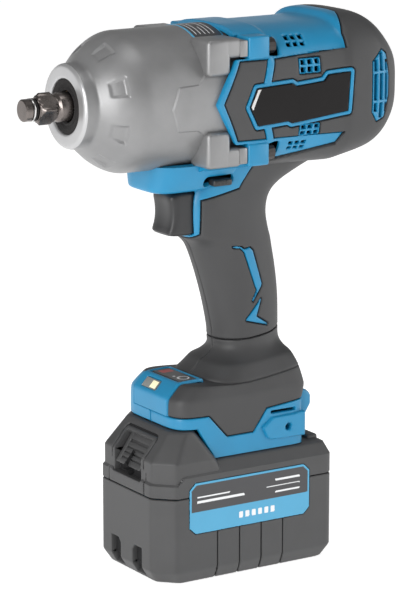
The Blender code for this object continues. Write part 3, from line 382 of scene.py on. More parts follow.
def rounded(inner_distance, radius=RIM):
    """How far a moulded edge falls away, given the distance in from it."""
    reach = 1 - np.clip(inner_distance / radius, 0, 1)
    return -radius * (1 - np.sqrt(np.maximum(0, 1 - reach ** 2)))


def mesh_piece(name, parts, materials, body, slot, replaced=None, sharp_deg=38):
    """One object from several (points, faces, material index) parts, which rides on a body."""
    points, faces, slots, start = [], [], [], 0
    for part_points, part_faces, index in parts:
        points.append(part_points)
        faces.append(part_faces + start)
        slots.append(np.full(len(part_faces), index))
        start += len(part_points)
    points, faces, slots = np.concatenate(points), np.concatenate(faces), np.concatenate(slots)
    mesh = bpy.data.meshes.new(name)
    mesh.vertices.add(len(points))
    mesh.vertices.foreach_set("co", (points * MM).astype(np.float32).ravel())
    mesh.loops.add(len(faces) * 3)
    mesh.loops.foreach_set("vertex_index", faces.astype(np.int32).ravel())
    mesh.polygons.add(len(faces))
    mesh.polygons.foreach_set("loop_start", np.arange(0, len(faces) * 3, 3, dtype=np.int32))
    mesh.polygons.foreach_set("material_index", slots.astype(np.int32))
    mesh.update(calc_edges=True)
    mesh.validate()
    for item in materials:
        mesh.materials.append(MATERIALS[item])
    mesh.shade_smooth()
    mesh.set_sharp_from_angle(angle=math.radians(sharp_deg))
    obj = bpy.data.objects.new(name, mesh)
    bpy.context.scene.collection.objects.link(obj)
    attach(obj, body)
    if replaced:
        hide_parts(replaced)


# ---------------------------------------------------------------- materials


def new_material(name):
    made = bpy.data.materials.new(name)
    made.use_nodes = True
    return made, made.node_tree.nodes, made.node_tree.links


def put(node, **values):
    """Sets a node's inputs. An underscore in a keyword stands for a space in the input's name."""
    for name, value in values.items():
        node.inputs[name.replace("_", " ")].default_value = value


def surface(name, colour, roughness, metallic=0.0, grain=900.0, bump=0.06, depth=0.00008, mottle=0.06,
            rough_spread=0.08, coat=0.0, emission=0.0, specular=0.5):
    """A moulded or cast finish: broad mottling of colour and gloss, and a fine grain in the bump."""
    made, nodes, links = new_material(name)
    shader = nodes["Principled BSDF"]
    put(shader, Metallic=metallic, Specular_IOR_Level=specular, Coat_Weight=coat, Coat_Roughness=0.2)
    if emission:
        put(shader, Emission_Color=(*colour, 1), Emission_Strength=emission)
    place = nodes.new("ShaderNodeTexCoord")
    broad, fine = nodes.new("ShaderNodeTexNoise"), nodes.new("ShaderNodeTexNoise")
    put(broad, Scale=60.0, Detail=4.0)
    put(fine, Scale=grain, Detail=3.0)
    links.new(place.outputs["Object"], broad.inputs["Vector"])
    links.new(place.outputs["Object"], fine.inputs["Vector"])
    ramp = nodes.new("ShaderNodeValToRGB")
    for stop, position, shade in zip(ramp.color_ramp.elements, (0.3, 0.7), (1 - mottle, 1 + mottle)):
        stop.position = position
        stop.color = (*(min(1.0, c * shade) for c in colour), 1)
    links.new(broad.outputs["Fac"], ramp.inputs["Fac"])
    links.new(ramp.outputs["Color"], shader.inputs["Base Color"])
    gloss = nodes.new("ShaderNodeMapRange")
    put(gloss, To_Min=max(0.02, roughness - rough_spread), To_Max=min(1.0, roughness + rough_spread))
    links.new(broad.outputs["Fac"], gloss.inputs["Value"])
    links.new(gloss.outputs["Result"], shader.inputs["Roughness"])
    relief = nodes.new("ShaderNodeBump")
    put(relief, Strength=bump, Distance=depth)
    links.new(fine.outputs["Fac"], relief.inputs["Height"])
    links.new(relief.outputs["Normal"], shader.inputs["Normal"])
    return made


def make_materials():
    return {
        "blue": surface("blue_nylon_moulded", (0.007, 0.205, 0.39), 0.36, grain=1800, bump=0.12, mottle=0.04),
        "rubber": surface("soft_rubber", (0.040, 0.040, 0.041), 0.56, grain=2600, bump=0.35, mottle=0.08),
        # Painted shade: a near-black colour standing in for the shade inside grooves, gaps and recesses.
        "seam": surface("shadow_seam", (0.006, 0.006, 0.007), 0.9, grain=600, bump=0.05),
        "cast": surface("cast_alloy", (0.245, 0.245, 0.247), 0.42, metallic=0.55, grain=1500, bump=0.35,
                        depth=0.00012, mottle=0.07, rough_spread=0.1),
        "cast_machined": surface("cast_alloy_machined", (0.46, 0.46, 0.465), 0.33, metallic=0.7, grain=2600,
                                 bump=0.1, mottle=0.05),
        "steel": surface("ground_steel", (0.18, 0.16, 0.15), 0.26, metallic=1.0, grain=2200, bump=0.12,
                         mottle=0.18, rough_spread=0.12),
        "bright_steel": surface("bright_steel", (0.62, 0.61, 0.6), 0.22, metallic=1.0, grain=2600, bump=0.06),
        "dark_steel": surface("blackened_steel", (0.055, 0.05, 0.048), 0.38, metallic=0.8, grain=2000,
                              bump=0.2, mottle=0.3),
        "black": surface("black_nylon", (0.018, 0.018, 0.019), 0.42, grain=2200, bump=0.2, mottle=0.1),
        "pack": surface("battery_nylon", (0.050, 0.050, 0.051), 0.5, grain=2000, bump=0.45, depth=0.0001,
                        mottle=0.08),
        "gloss_black": surface("gloss_black_plate", (0.006, 0.005, 0.005), 0.2, grain=500, bump=0.01,
                               mottle=0.02, rough_spread=0.03, specular=0.2),
        "label_blue": surface("printed_blue", (0.07, 0.33, 0.53), 0.34, grain=1500, bump=0.03, mottle=0.02),
        "label_dark": surface("printed_grey", (0.045, 0.045, 0.048), 0.36, grain=1500, bump=0.03,
                              mottle=0.03),
        "white_ink": surface("printed_white", (0.72, 0.73, 0.74), 0.4, bump=0.02, mottle=0.02),
        "red_ink": surface("printed_red", (0.42, 0.05, 0.05), 0.4, bump=0.02, mottle=0.1),
        "window": surface("tinted_window", (0.22, 0.23, 0.22), 0.1, grain=300, bump=0.02, coat=0.8,
                          mottle=0.2),
        "lamp": surface("lamp_phosphor", (0.85, 0.80, 0.52), 0.4, bump=0.1, emission=0.25),
        "felt": surface("oiled_felt", (0.007, 0.006, 0.006), 0.85, grain=1400, bump=1.0, depth=0.0006,
                        mottle=0.9),
        "bronze": surface("sintered_bronze", (0.42, 0.27, 0.12), 0.42, metallic=1.0, grain=1800, bump=0.3),
        "copper": surface("enamelled_copper", (0.55, 0.2, 0.08), 0.3, metallic=0.9, grain=700, bump=0.6),
        "board": surface("circuit_board", (0.015, 0.12, 0.05), 0.4, grain=1200, bump=0.2, mottle=0.2),
        "wrap": surface("cell_sleeve", (0.06, 0.24, 0.36), 0.32, bump=0.05),
    }


MATERIALS = make_materials()


# ---------------------------------------------------------------- the plastic shell and its rubber


def barrel_rings(inset=0.0):
    rings = []
    for x, half_width, top, bottom in smooth_table(BARREL):
        y, z = ring(half_width - inset, (top - bottom) / 2 - inset, BARREL_SQUARENESS, 264)
        rings.append(np.stack([np.full(len(y), x), y, z + (top + bottom) / 2], 1))
    return rings


def standing_rings(table, count):
    """Level sections. One with two squarenesses and two rises has square rear corners and tilted ends."""
    rings = []
    for z, front, rear, half_width, squareness, *more in smooth_table(table):
        behind, rear_rise, front_rise = more or (squareness, 0, 0)
        x, y = ring((rear - front) / 2, half_width, squareness, count, behind)
        x = x + (front + rear) / 2
        up = rear_rise * np.clip((x - REAR_RISE_X[0]) / (REAR_RISE_X[1] - REAR_RISE_X[0]), 0, 1) ** 1.3
        up += front_rise * np.clip((x - FRONT_RISE_X[0]) / (FRONT_RISE_X[1] - FRONT_RISE_X[0]), 0, 1)
        rings.append(np.stack([x, y, z + up], 1))
    return rings


BARREL_ROWS = smooth_table(BARREL)
STEM_ROWS = smooth_table(STEM)[::-1]


def depth_in_barrel(points):
    """Below 1 inside the barrel, 1 on its skin."""
    x, y, z = points.T
    half_width, top, bottom = (np.interp(x, BARREL_ROWS[:, 0], row) for row in BARREL_ROWS.T[1:4])
    across = np.abs(y / half_width) ** BARREL_SQUARENESS
    upright = np.abs((z - (top + bottom) / 2) / ((top - bottom) / 2)) ** BARREL_SQUARENESS
    return np.where(x > -24, (across + upright) ** (1 / BARREL_SQUARENESS), 9)


def depth_in_stem(points):
    x, y, z = points.T
    front, rear, half_width, squareness = (np.interp(z, STEM_ROWS[:, 0], row) for row in STEM_ROWS.T[1:5])
    along = np.abs((x - (front + rear) / 2) / ((rear - front) / 2)) ** squareness
    across = np.abs(y / half_width) ** squareness
    return (along + across) ** (1 / squareness)


def blue_in_rubber(points):
    """Signed distance to the blue details that show in the rubber: negative inside them."""
    flat = side(points)
    details = [to_outline(flat, NAMEPLATE_OUTLINE) - FRAME_WIDTH]
    details += [to_outline(flat, outline) for outline in (*STRIPES, VENT_OUTLINE)]
    details += [to_box(flat, low, high, 0.4) for low, high in SIDE_GRILLES]
    return nearest_of(*details)


SIDE_GRILLES = (((29.2, 278.0), (43.4, 286.8)), ((29.6, 243.6), (43.2, 250.6)))
BAND_GRILLES = (((23.5, 292.6), (37.5, 300.6)), ((23.5, 234.6), (36.5, 241.4)))
GRILLE_HOLES = [hole for low, high in (*SIDE_GRILLES, *BAND_GRILLES) for hole in grille_holes(low, high)]
VENT_HOLES = [
    ((78.0, 276.0), (80.4, 282.4)), ((78.0, 259.8), (80.4, 274.4)), ((78.0, 253.4), (80.4, 258.2)),
    ((82.0, 276.0), (84.6, 286.2)), ((82.0, 259.8), (84.6, 274.4)), ((82.0, 249.8), (84.6, 258.2)),
    ((86.2, 276.0), (88.0, 282.0)), ((86.2, 259.8), (88.4, 274.4)), ((86.2, 252.8), (88.0, 258.2)),
]


def barrel_colour(points):
    """Negative on rubber, positive on blue plastic."""
    x, y, z = points.T
    collar = COLLAR_X + COLLAR_SET_BACK * np.clip((COLLAR_SIDE_Y - np.abs(y)) / COLLAR_SLANT, 0, 1)
    colour = np.maximum(to_outline(side(points), RUBBER_OUTLINE), -blue_in_rubber(points))
    return np.where(z > 290, np.maximum(colour, collar - x), colour)


def barrel_holes(points):
    """Negative where the barrel's shell is open."""
    flat = side(points)
    facing = 24 - np.abs(points[:, 1])
    openings = [
        np.maximum(to_holes(flat, GRILLE_HOLES + VENT_HOLES), facing),
        np.maximum(to_outline(flat, NAMEPLATE_OUTLINE), facing), to_outline(flat, FRONT_CUT_OUTLINE),
    ]
    for z in SCREW_LEVELS:
        screw_hole = to_box(flat, (10.4, z - 4.9), (18.4, z + 5.4), 1.5)
        openings.append(np.maximum(screw_hole, 20 - np.abs(points[:, 1])))
    return nearest_of(*openings)


BAND_DEPTH = 1.3


def barrel_drop(points):
    """The blue bands above and below lie a little deeper than the rubber beside them."""
    x, _, z = points.T
    upright = np.clip((np.abs(z - AXIS_Z) - 20) / 3, 0, 1)
    along = np.clip((x - 12) / 3, 0, 1) * np.clip((62 - x) / 2, 0, 1)
    return -BAND_DEPTH * upright * along


def level(points):
    return np.zeros(len(points))


def two_colours(points, faces, colour, holes, removed, drop=level, seam_depth=1.2):
    """The blue, rubber and seam parts of a shell, cut along the border of its colours and its holes. The seam
    parts are a sunk groove coloured as painted shade.
    """
    steps = (SEAM, SEAM + RIM * RIM_STEP, SEAM + RIM)
    border = (0.0, *(sign * step for step in steps for sign in (1, -1)))
    points, faces = cut_levels(points, faces, colour, border)
    points, faces = cut_levels(points, faces, holes, (0.0, RIM * RIM_STEP, RIM))
    points, faces = cut_levels(points, faces, lambda p: p[:, 1], (0.0,))
    normals = point_normals(points, faces)
    middle = points[faces].mean(axis=1)
    tone, gap = colour(middle), holes(middle)
    kept = (gap > 0) & ~removed(middle)
    left = middle[:, 1] < 0
    parts = {}
    for name, wanted, sign in (("blue", tone > SEAM, 1), ("rubber", tone < -SEAM, -1)):
        def height(p, sign=sign):
            edge = nearest_of(sign * colour(p) - SEAM, holes(p))
            return rounded(edge) + (drop(p) if sign > 0 else 0)
        for label, on_side in (("left", left), ("right", ~left)):
            parts[name, label] = region(points, faces, normals, kept & wanted & on_side, height, 3.0)
    for label, on_side in (("left", left), ("right", ~left)):
        # the groove between the colours and along the parting lines, near black as painted shade
        parts["seam", label] = region(
            points, faces, normals, kept & (np.abs(tone) <= SEAM) & on_side,
            lambda p: -seam_depth + drop(p) * 0.7, 0,
        )
    return parts


def barrel_parts():
    points, faces = skin(barrel_rings(), cap_last=True)
    return two_colours(
        points, faces, barrel_colour, barrel_holes,
        lambda p: (depth_in_stem(p) < 0.9) & (p[:, 2] < 232) & (p[:, 0] < 60), barrel_drop,
    )


def grip_details(points):
    flat = side(points)
    return nearest_of(to_outline(flat, GRIP_BAR_OUTLINE), to_outline(flat, GRIP_ARROW_OUTLINE))


CHEEK_X = -32.0     # on the right side the blue front reaches back to here
NECK_LINE = ((-8, 127.2), (2, 127.8), (14, 128.4), (28, 130.2), (44, 134.0))


def stem_colour(points):
    """Positive in blue, negative in rubber, and 0 on their border and on the rubber's own parting lines."""
    colour = np.maximum(to_outline(side(points), RUBBER_OUTLINE), -grip_details(points))
    cheek = np.where((points[:, 1] > 0) & (points[:, 2] < 112), CHEEK_X - points[:, 0], -FAR)
    colour = np.maximum(colour, cheek)
    middle = np.where(points[:, 2] > 91.6, np.abs(points[:, 1]) + 0.1, FAR)
    parting = nearest_of(to_lines(side(points), [NECK_LINE]), middle)
    return np.where(colour > 0, colour, np.maximum(colour, -parting))


def lever_slot(points):
    return np.maximum(to_box(side(points), (-18.9, 217.0), (0.6, 223.0), 2.8), 8 - np.abs(points[:, 1]))


def stem_holes(points):
    """The openings in the grip and foot: trigger, lever, panel, hook holes, front seam and battery."""
    x, y, z = points.T
    flat = side(points)
    across = points[:, [1, 2]]
    near_side = 20 - np.abs(y)
    return nearest_of(
        np.maximum(to_box(across, (-11.5, 189.2), (11.5, 214.4), 2.0), x + 8),
        lever_slot(points),
        np.maximum.reduce([to_box(across, (-17.9, 85.0), (17.9, 130.0), 0.5), x + 16.8, FOOT_SEAM_Z - z]),
        to_box(across, (-24.4, 40.0), (24.4, 69.4), 0.3),
        np.maximum(to_box(flat, (19.0, 87.2), (35.6, 88.9), 0.5), near_side),
        np.maximum(to_hook_hole(points), near_side),
        np.maximum.reduce([np.abs(y) - 0.2, x + 36, z - FOOT_SEAM_Z]),
        to_outline(flat, FOOT_STEP_OUTLINE),
    )


def stem_parts():
    points, faces = skin(standing_rings(STEM, 240))
    return two_colours(points, faces, stem_colour, stem_holes, lambda p: depth_in_barrel(p) < 0.96)


PLATE_X, PLATE_INSET, PLATE_BORE = -1.6, 1.8, 37.6


def shell_pieces():
    """The blue shell and the rubber of each side."""
    barrel, stem, chin = barrel_parts(), stem_parts(), chin_parts()
    for sign, label in SIDES:
        blue = [(*source["blue", label], 0) for source in (barrel, stem, chin)]
        blue += [(*part[:2], 0) for part in (*boss_parts(sign), pad_part(sign), ear_part(sign))]
        mesh_piece(f"shell_{label}", blue, ["blue"], "housing", "blue_nylon", f"housing_{label}")
        soft = [(*source["rubber", label], 0) for source in (barrel, stem)]
        # the seam grooves and the ring behind the front are near black as painted shade
        soft += [(*source["seam", label], 1) for source in (barrel, stem)]
        soft += [(*front_shade_plate(), 1)] if label == "left" else []
        mesh_piece(f"grip_rubber_{label}", soft, ["rubber", "seam"], "housing", "rubber",
                   f"grip_overmold_{label}")


def front_shade_plate():
    """A ring just inside the front of the barrel, near black as painted shade, which closes the corners round
    the hammer case.
    """
    _, half_width, top, bottom = BARREL[0]
    y, z = ring(half_width - PLATE_INSET, (top - bottom) / 2 - PLATE_INSET, BARREL_SQUARENESS, 264)
    turn = np.arctan2(z, y)
    outer = np.stack([y, z + (top + bottom) / 2], 1)
    inner = np.stack([PLATE_BORE * np.cos(turn), AXIS_Z + PLATE_BORE * np.sin(turn)], 1)
    corners = ((0, inner), (0, outer), (1, outer), (1, inner), (0, inner))
    return skin([np.column_stack([np.full(len(flat), PLATE_X + behind), flat]) for behind, flat in corners])


def chin_parts():
    """The blue nose of the housing under the hammer case, with its slot for the direction lever."""
    points, faces = skin(standing_rings(CHIN, 200), cap_last=True)

    return two_colours(
        points, faces, lambda p: level(p) + FAR, lever_slot,
        lambda p: (depth_in_stem(p) < 0.97) & (p[:, 2] > 214),
    )


# ---------------------------------------------------------------- small solids


def solid(bm):
    """A bmesh as (points, faces) in millimetres, triangulated."""
    bmesh.ops.recalc_face_normals(bm, faces=bm.faces)
    bmesh.ops.triangulate(bm, faces=bm.faces)
    points = np.array([vert.co[:] for vert in bm.verts])
    bm.verts.index_update()
    faces = np.array([[vert.index for vert in face.verts] for face in bm.faces])
    bm.free()
    return points, facing_out(points, faces)


def block(corner, opposite, radius, segments=3):
    """A box between two corners, with its edges rounded."""
    low, high = np.minimum(corner, opposite), np.maximum(corner, opposite)
    bm = bmesh.new()
    bmesh.ops.create_cube(bm, size=1)
    middle = (Vector(low) + Vector(high)) / 2
    size = Vector(high) - Vector(low)
    for vert in bm.verts:
        vert.co = Vector(middle[i] + vert.co[i] * size[i] for i in range(3))
    bmesh.ops.bevel(bm, geom=bm.edges[:], offset=radius, segments=segments, affect="EDGES", profile=0.5)
    return solid(bm)


def slab(outline, axis, start, end, radius, segments=3):
    """An outline pushed along an axis, with its edges rounded."""
    index = "XYZ".index(axis)
    others = [i for i in range(3) if i != index]
    bm = bmesh.new()
    verts = []
    for point in outline:
        place = [0.0, 0.0, 0.0]
        place[index] = start
        place[others[0]], place[others[1]] = point
        verts.append(bm.verts.new(place))
    pushed = bmesh.ops.extrude_face_region(bm, geom=[bm.faces.new(verts)])["geom"]
    push = [0.0, 0.0, 0.0]
    push[index] = end - start
    bmesh.ops.translate(bm, verts=[item for item in pushed if isinstance(item, bmesh.types.BMVert)], vec=push)
    bmesh.ops.recalc_face_normals(bm, faces=bm.faces)
    if radius:
        bmesh.ops.bevel(bm, geom=bm.edges[:], offset=radius, segments=segments, affect="EDGES", profile=0.5)
    return solid(bm)


def hoop(x, radius, count, centre_z=AXIS_Z):
    """Points round the drive line, or round a line below it."""
    angle = np.linspace(0, 2 * math.pi, count, endpoint=False)
    return np.stack([np.full(count, x), radius * np.cos(angle), centre_z + radius * np.sin(angle)], 1)


def turned(profile, segments=96, centre_z=AXIS_Z):
    """A profile of (X, radius) points turned round the drive line, or round a line below it."""
    return skin([hoop(x, radius, segments, centre_z) for x, radius in profile])


def boss_parts(sign):
    """The two blocks that a case screw passes through, on one side of the tool."""
    return [
        block((-2.9, sign * 24.0, z - 6.2), (10.4, sign * 40.5, z + 6.2), 1.3) for z in SCREW_LEVELS
    ]


# ---------------------------------------------------------------- hammer case and drive


NOSE_PROFILE = (
    (-90.0, 14.9), (-93.2, 14.9), (-93.9, 15.7), (-94.0, 16.4), (-94.0, 20.6), (-93.7, 21.8), (-92.8, 22.7),
    (-91.6, 23.1), (-86.6, 23.2), (-85.6, 23.6), (-84.3, 25.2), (-82.0, 27.8), (-80.0, 29.7), (-78.0, 31.4),
    (-75.5, 33.2), (-73.0, 34.8), (-70.5, 36.2), (-68.0, 37.3), (-65.5, 38.1), (-63.0, 38.5), (-60.0, 38.6),
    (CASE_REAR_X, 38.6),
)
POCKET_COUNT = 8
POCKET_ANGLE = math.radians(22.5)
SHOULDER_OUTLINE = (
    (-3, 281.5), (-28.0, 281.5), (-33.0, 277.0), (-45.5, 276.4), (-50.5, 264.5), (-45.5, 252.0),
    (-33.0, 251.6), (-28.0, 248.6), (-3, 248.6),
)


def resample(profile, step):
    return at_steps(profile, line_gaps(profile), step)


def rounded_profile(profile, passes=1):
    """A profile with its corners cut once or more."""
    rows = np.array(profile, float)
    for _ in range(passes):
        rows = cut_corners(rows)
    return rows


def case_relief(points):
    """Pockets round the shoulder and the raised panel on each side, as a height over the turned case."""
    x, y, z = points.T
    radius = np.hypot(y, z - AXIS_Z)
    turn = np.arctan2(z - AXIS_Z, y)
    pitch = 2 * math.pi / POCKET_COUNT
    from_middle = np.abs((turn - POCKET_ANGLE + pitch / 2) % pitch - pitch / 2) * radius
    along = np.hypot(x + 84.6, radius - 25.0)
    half_width = 3.6 + 0.16 * along
    end = np.minimum(along - 4.5, 15.0 - along)
    slope = np.clip(np.minimum(half_width - from_middle, end * 1.1) / 1.5, 0, 1)
    fade = np.clip((along - 4.5) / 9, 0, 1)
    pocket = -1.5 * slope * (0.35 + 0.65 * fade) * (x > -84.6) * (x < -69.5)
    raised = np.clip(-to_outline(side(points), SHOULDER_OUTLINE) / 0.9, 0, 1) * (np.abs(y) > 20)
    return pocket + 0.8 * raised


def case_parts():
    """The cast case with its relief, and which of its faces belong to the machined mouth."""

    def panel_edge(p):
        return np.where(np.abs(p[:, 1]) > 20, to_outline(side(p), SHOULDER_OUTLINE), FAR)

    points, faces = turned(resample(rounded_profile(NOSE_PROFILE), 0.7), 360)
    points, faces = cut_levels(points, faces, panel_edge, (0.0, -0.9))
    normals = point_normals(points, faces)
    raised = points + normals * case_relief(points)[:, None]
    bright = points[faces].mean(axis=1)[:, 0] < -92.6
    return raised, faces, bright


# Each box of a lug: corners as (X, distance from the middle, rise over the axis), edge radius, segments.
LUG_BOXES = (
    ((-28.2, 20, 15.0), (-13.5, 39.6, 34.8), 2.6, 5), ((-28.0, 20, 24.2), (-6.4, 39.55, 34.75), 2.6, 5),
    ((-8.4, 20, 24.6), (-3.4, 39.9, 33.4), 0.6, 2),
)


def lug_parts():
    """The four screw lugs: blocks that grow out of the case, each with a smaller step behind."""
    parts = []
    for sign_y in (-1, 1):
        for sign_z in (-1, 1):
            for *corners, radius, segments in LUG_BOXES:
                placed = [(x, sign_y * y, AXIS_Z + sign_z * rise) for x, y, rise in corners]
                parts.append(block(*placed, radius, segments))
    return parts


# The square of the drive: X, and the radius that its corners are turned down to there.
DRIVE_SQUARE = ((-111.2, 6.4), (-110.6, 7.4), (-109.4, 8.7), (-102.8, 8.7), (-101.6, 7.6), (-100.6, 6.6))


def square_parts():
    """The square of the drive with its corners turned off at both ends."""
    angle = np.linspace(0, 2 * math.pi, 144, endpoint=False)
    turn = (angle - math.radians(DRIVE_ROLL_DEG) + math.pi / 4) % (math.pi / 2) - math.pi / 4
    flats = DRIVE_SIDE / 2 / np.cos(turn)
    rings = [hoop(x, np.minimum(flats, limit), 144) for x, limit in DRIVE_SQUARE]
    return skin(rings, cap_first=True, cap_last=True)


SHANK = (
    (TIP_X, 0.0), (TIP_X, 5.2), (-119.2, 5.8), (-118.8, 6.05), (-115.6, 6.05), (-115.5, 4.9), (-111.8, 4.9),
    (-111.7, 6.0), (-111.0, 6.2), (-100.8, 6.2), (-100.2, 6.4), (-99.6, 7.0), (-99.0, 7.7), (-98.4, 7.9),
    (-70.0, 7.9), (-70.0, 0.0),
)
RING_SECTION = ((0, 5.1), (0.2, 6.3), (0.7, 6.45), (1.2, 6.3), (1.4, 5.1), (0, 5.1))
CUSHION_SECTION = ((0, 5.1), (0.2, 6.0), (0.7, 6.2), (1.2, 6.0), (1.4, 5.1), (0, 5.1))
SEAL_SECTION = (
    (0, 8.6), (-2.2, 8.7), (-2.5, 9.4), (-1.8, 10.6), (-2.5, 12.0), (-2.8, 13.6), (-2.6, 14.8), (0, 14.9),
)
# Rings at the nose: name, start X, section, segments, material, body, slot and the node that each replaces.
NOSE_RINGS = (
    ("snap_ring", -115.3, RING_SECTION, 96, ["bright_steel"], "anvil_body", "steel", "socket_ring"),
    ("snap_cushion", -113.6, CUSHION_SECTION, 96, ["felt"], "anvil_body", "felt", "ring_cushion"),
    ("seal_ring", -90.4, SEAL_SECTION, 128, ["felt"], "housing", "felt", "nose_seal"),
)


def nose_pieces():
    """The hammer case, the drive with its two wings, and the rings round it."""
    points, faces, bright = case_parts()
    parts = [(points, faces[~bright], 0), (points, faces[bright], 1)]
    parts += [(*part, 0) for part in lug_parts()]
    mesh_piece("case_shell", parts, ["cast", "cast_machined"], "housing", "cast_case", "hammer_case", 30)
    wings = [
        block((-77.8, sign * 7.0, AXIS_Z - 7.5), (-69.3, sign * 27.4, AXIS_Z + 7.5), 1.2) for sign in (-1, 1)
    ]
    drive = [turned(SHANK), square_parts(), *wings]
    mesh_piece("drive_anvil", [(*part, 0) for part in drive], ["steel"], "anvil_body", "steel", "anvil", 25)
    for name, start, section, segments, *rest in NOSE_RINGS:
        profile = [(start + x, radius) for x, radius in section]
        mesh_piece(name, [(*turned(profile, segments), 0)], *rest, 50)


# ---------------------------------------------------------------- flat panels and labels


def to_lines(points, lines):
    """Distance from each (u, v) point to the nearest of some polylines."""
    nearest = np.full(len(points), np.inf)
    for line in lines:
        for (au, av), (bu, bv) in zip(line, line[1:]):
            u, v = points[:, 0] - au, points[:, 1] - av
            du, dv = bu - au, bv - av
            along = np.clip((u * du + v * dv) / (du * du + dv * dv), 0, 1)
            nearest = np.minimum(nearest, np.hypot(u - along * du, v - along * dv))
    return nearest


def open_grid(points):
    """Faces of a grid that closes in neither direction."""
    rows, columns = points.shape[:2]
    index = np.arange(rows * columns).reshape(rows, columns)
    return points.reshape(-1, 3), halved(index[:-1, :-1], index[:-1, 1:], index[1:, 1:], index[1:, :-1])


def flat_grid(low, high, y, step=0.8):
    """A grid in a plane of one Y, over X and Z, whose faces look outwards."""
    x = np.linspace(low[0], high[0], int((high[0] - low[0]) / step) + 1)
    z = np.linspace(low[1], high[1], int((high[1] - low[1]) / step) + 1)
    grid_x, grid_z = np.meshgrid(x, z)
    points, faces = open_grid(np.stack([grid_x, np.full_like(grid_x, y), grid_z], -1))
    return points, faces if y < 0 else faces[:, ::-1]


def turned_to(points, faces, direction):
    """The faces of an open sheet, turned so that they look along a direction."""
    return points, faces if (point_normals(points, faces) @ direction).mean() > 0 else faces[:, ::-1]


def zoned(points, faces, zones, edge, wall=1.0, radius=0.3):
    """Cuts a sheet along several zones' outlines, as one part for each material slot.

    zones is a list of (field, slot). A face gets the first slot whose field is negative there or is None.
    edge(points) is positive inside the sheet's own outline.
    """
    points, faces = cut_levels(points, faces, edge, (0.0, radius))
    for field, _ in zones:
        if field is not None:
            points, faces = cut_levels(points, faces, field, (0.0,))
    normals = point_normals(points, faces)
    middle = points[faces].mean(axis=1)
    free = edge(middle) > 0
    slots = np.full(len(faces), -1)
    for field, slot in zones:
        wanted = free & (slots < 0)
        if field is not None:
            wanted &= field(middle) < 0
        slots[wanted] = slot
    points, faces = region(
        points, faces, normals, slots >= 0, lambda p: rounded(np.maximum(edge(p), 0), radius), wall
    )
    slots = slots[slots >= 0]
    slots = np.concatenate([slots, np.full(len(faces) - len(slots), slots[0])])
    return [(points, faces[slots == slot], slot) for slot in np.unique(slots)]


PACK_LABEL_OUTLINE = (
    (-38.2, 31.5), (-34.4, 27.9), (37.2, 27.9), (41.0, 31.5), (41.0, 53.2), (37.2, 56.8), (-34.4, 56.8),
    (-38.2, 53.2),
)
PACK_LABEL_BORDER = 1.15
PACK_LABEL_SPLIT_Z = 40.4
PACK_LABEL_BARS = (
    ((-33.5, 45.2), (-2.5, 46.6)), ((-33.5, 48.2), (-12.0, 49.0)), ((12.0, 47.0), (34.5, 47.6)),
    ((18.0, 50.2), (34.5, 51.4)), ((18.0, 43.4), (34.5, 44.4)),
    *(((-6.0 + 4.2 * k, 32.6), (-3.4 + 4.2 * k, 36.2)) for k in range(6)),
)


def pack_label_pieces():
    """The printed label on each side of the battery, with plain bars where a real one is lettered."""

    def dark(p):
        inner = to_outline(side(p), PACK_LABEL_OUTLINE) + PACK_LABEL_BORDER
        return np.maximum(inner, PACK_LABEL_SPLIT_Z - p[:, 2])

    for sign, label in SIDES:
        parts = zoned(
            *flat_grid((-39, 27), (42, 58), sign * (PACK_HALF_WIDTH + 0.12)),
            [(lambda p: to_holes(side(p), PACK_LABEL_BARS, 0.4), 2), (dark, 1), (None, 0)],
            edge=lambda p: -to_outline(side(p), PACK_LABEL_OUTLINE), wall=0.5, radius=0.15,
        )
        mesh_piece(f"pack_label_{label}", parts, ["label_blue", "label_dark", "white_ink"], "battery",
                   "label", f"battery_label_{label}")


def nameplate_pieces():
    """The gloss black plate on each side of the barrel, with its bright corner chips."""
    chips = (
        ((-2.6, 262.7), (1.9, 271.9), (3.6, 271.9), (-1.4, 261.2)),
        ((43.6, 273.4), (45.4, 273.4), (47.9, 276.3), (45.2, 276.2)),
    )
    zones = [(lambda p, chip=chip: to_outline(side(p), chip), 1) for chip in chips] + [(None, 0)]
    for sign, label in SIDES:
        parts = zoned(
            *flat_grid((-5, 250), (65, 279), sign * 42.25), zones,
            edge=lambda p: -to_outline(side(p), NAMEPLATE_OUTLINE), radius=0.4,
        )
        mesh_piece(f"plate_{label}", parts, ["gloss_black", "bright_steel"], "housing", "label",
                   f"nameplate_{label}")


TOP_LABEL_LOW, TOP_LABEL_HIGH = (-24.5, -20.4), (-5.0, 18.5)


def top_label_piece():
    """A small dark rating label on top of the case, with plain lines in place of print."""
    x = np.linspace(TOP_LABEL_LOW[0], TOP_LABEL_HIGH[0], 60)
    arc = np.linspace(TOP_LABEL_LOW[1], TOP_LABEL_HIGH[1], 60)
    grid_x, grid_arc = np.meshgrid(x, arc)
    radius = CASE_RADIUS + 0.25
    turn = grid_arc / radius
    sheet = open_grid(np.stack([grid_x, radius * np.sin(turn), AXIS_Z + radius * np.cos(turn)], -1))

    def flat(p):
        return np.stack([p[:, 0], np.arctan2(p[:, 1], p[:, 2] - AXIS_Z) * radius], 1)

    def edge(p):
        return -to_box(flat(p), TOP_LABEL_LOW, TOP_LABEL_HIGH, 2.0)

    lines = [((-21.4 + 2.8 * k, -17.0), (-20.9 + 2.8 * k, 6.0 - 7 * (k % 3))) for k in range(5)]
    zones = [(lambda p: edge(p) - 1.0, 1), (lambda p: to_holes(flat(p), lines, 0.2), 2), (None, 0)]
    parts = zoned(*turned_to(*sheet, (0, 0, 1)), zones, edge, wall=0.4, radius=0.2)
    mesh_piece("rating_label", parts, ["label_dark", "label_blue", "white_ink"], "housing", "label")


# ---------------------------------------------------------------- foot details


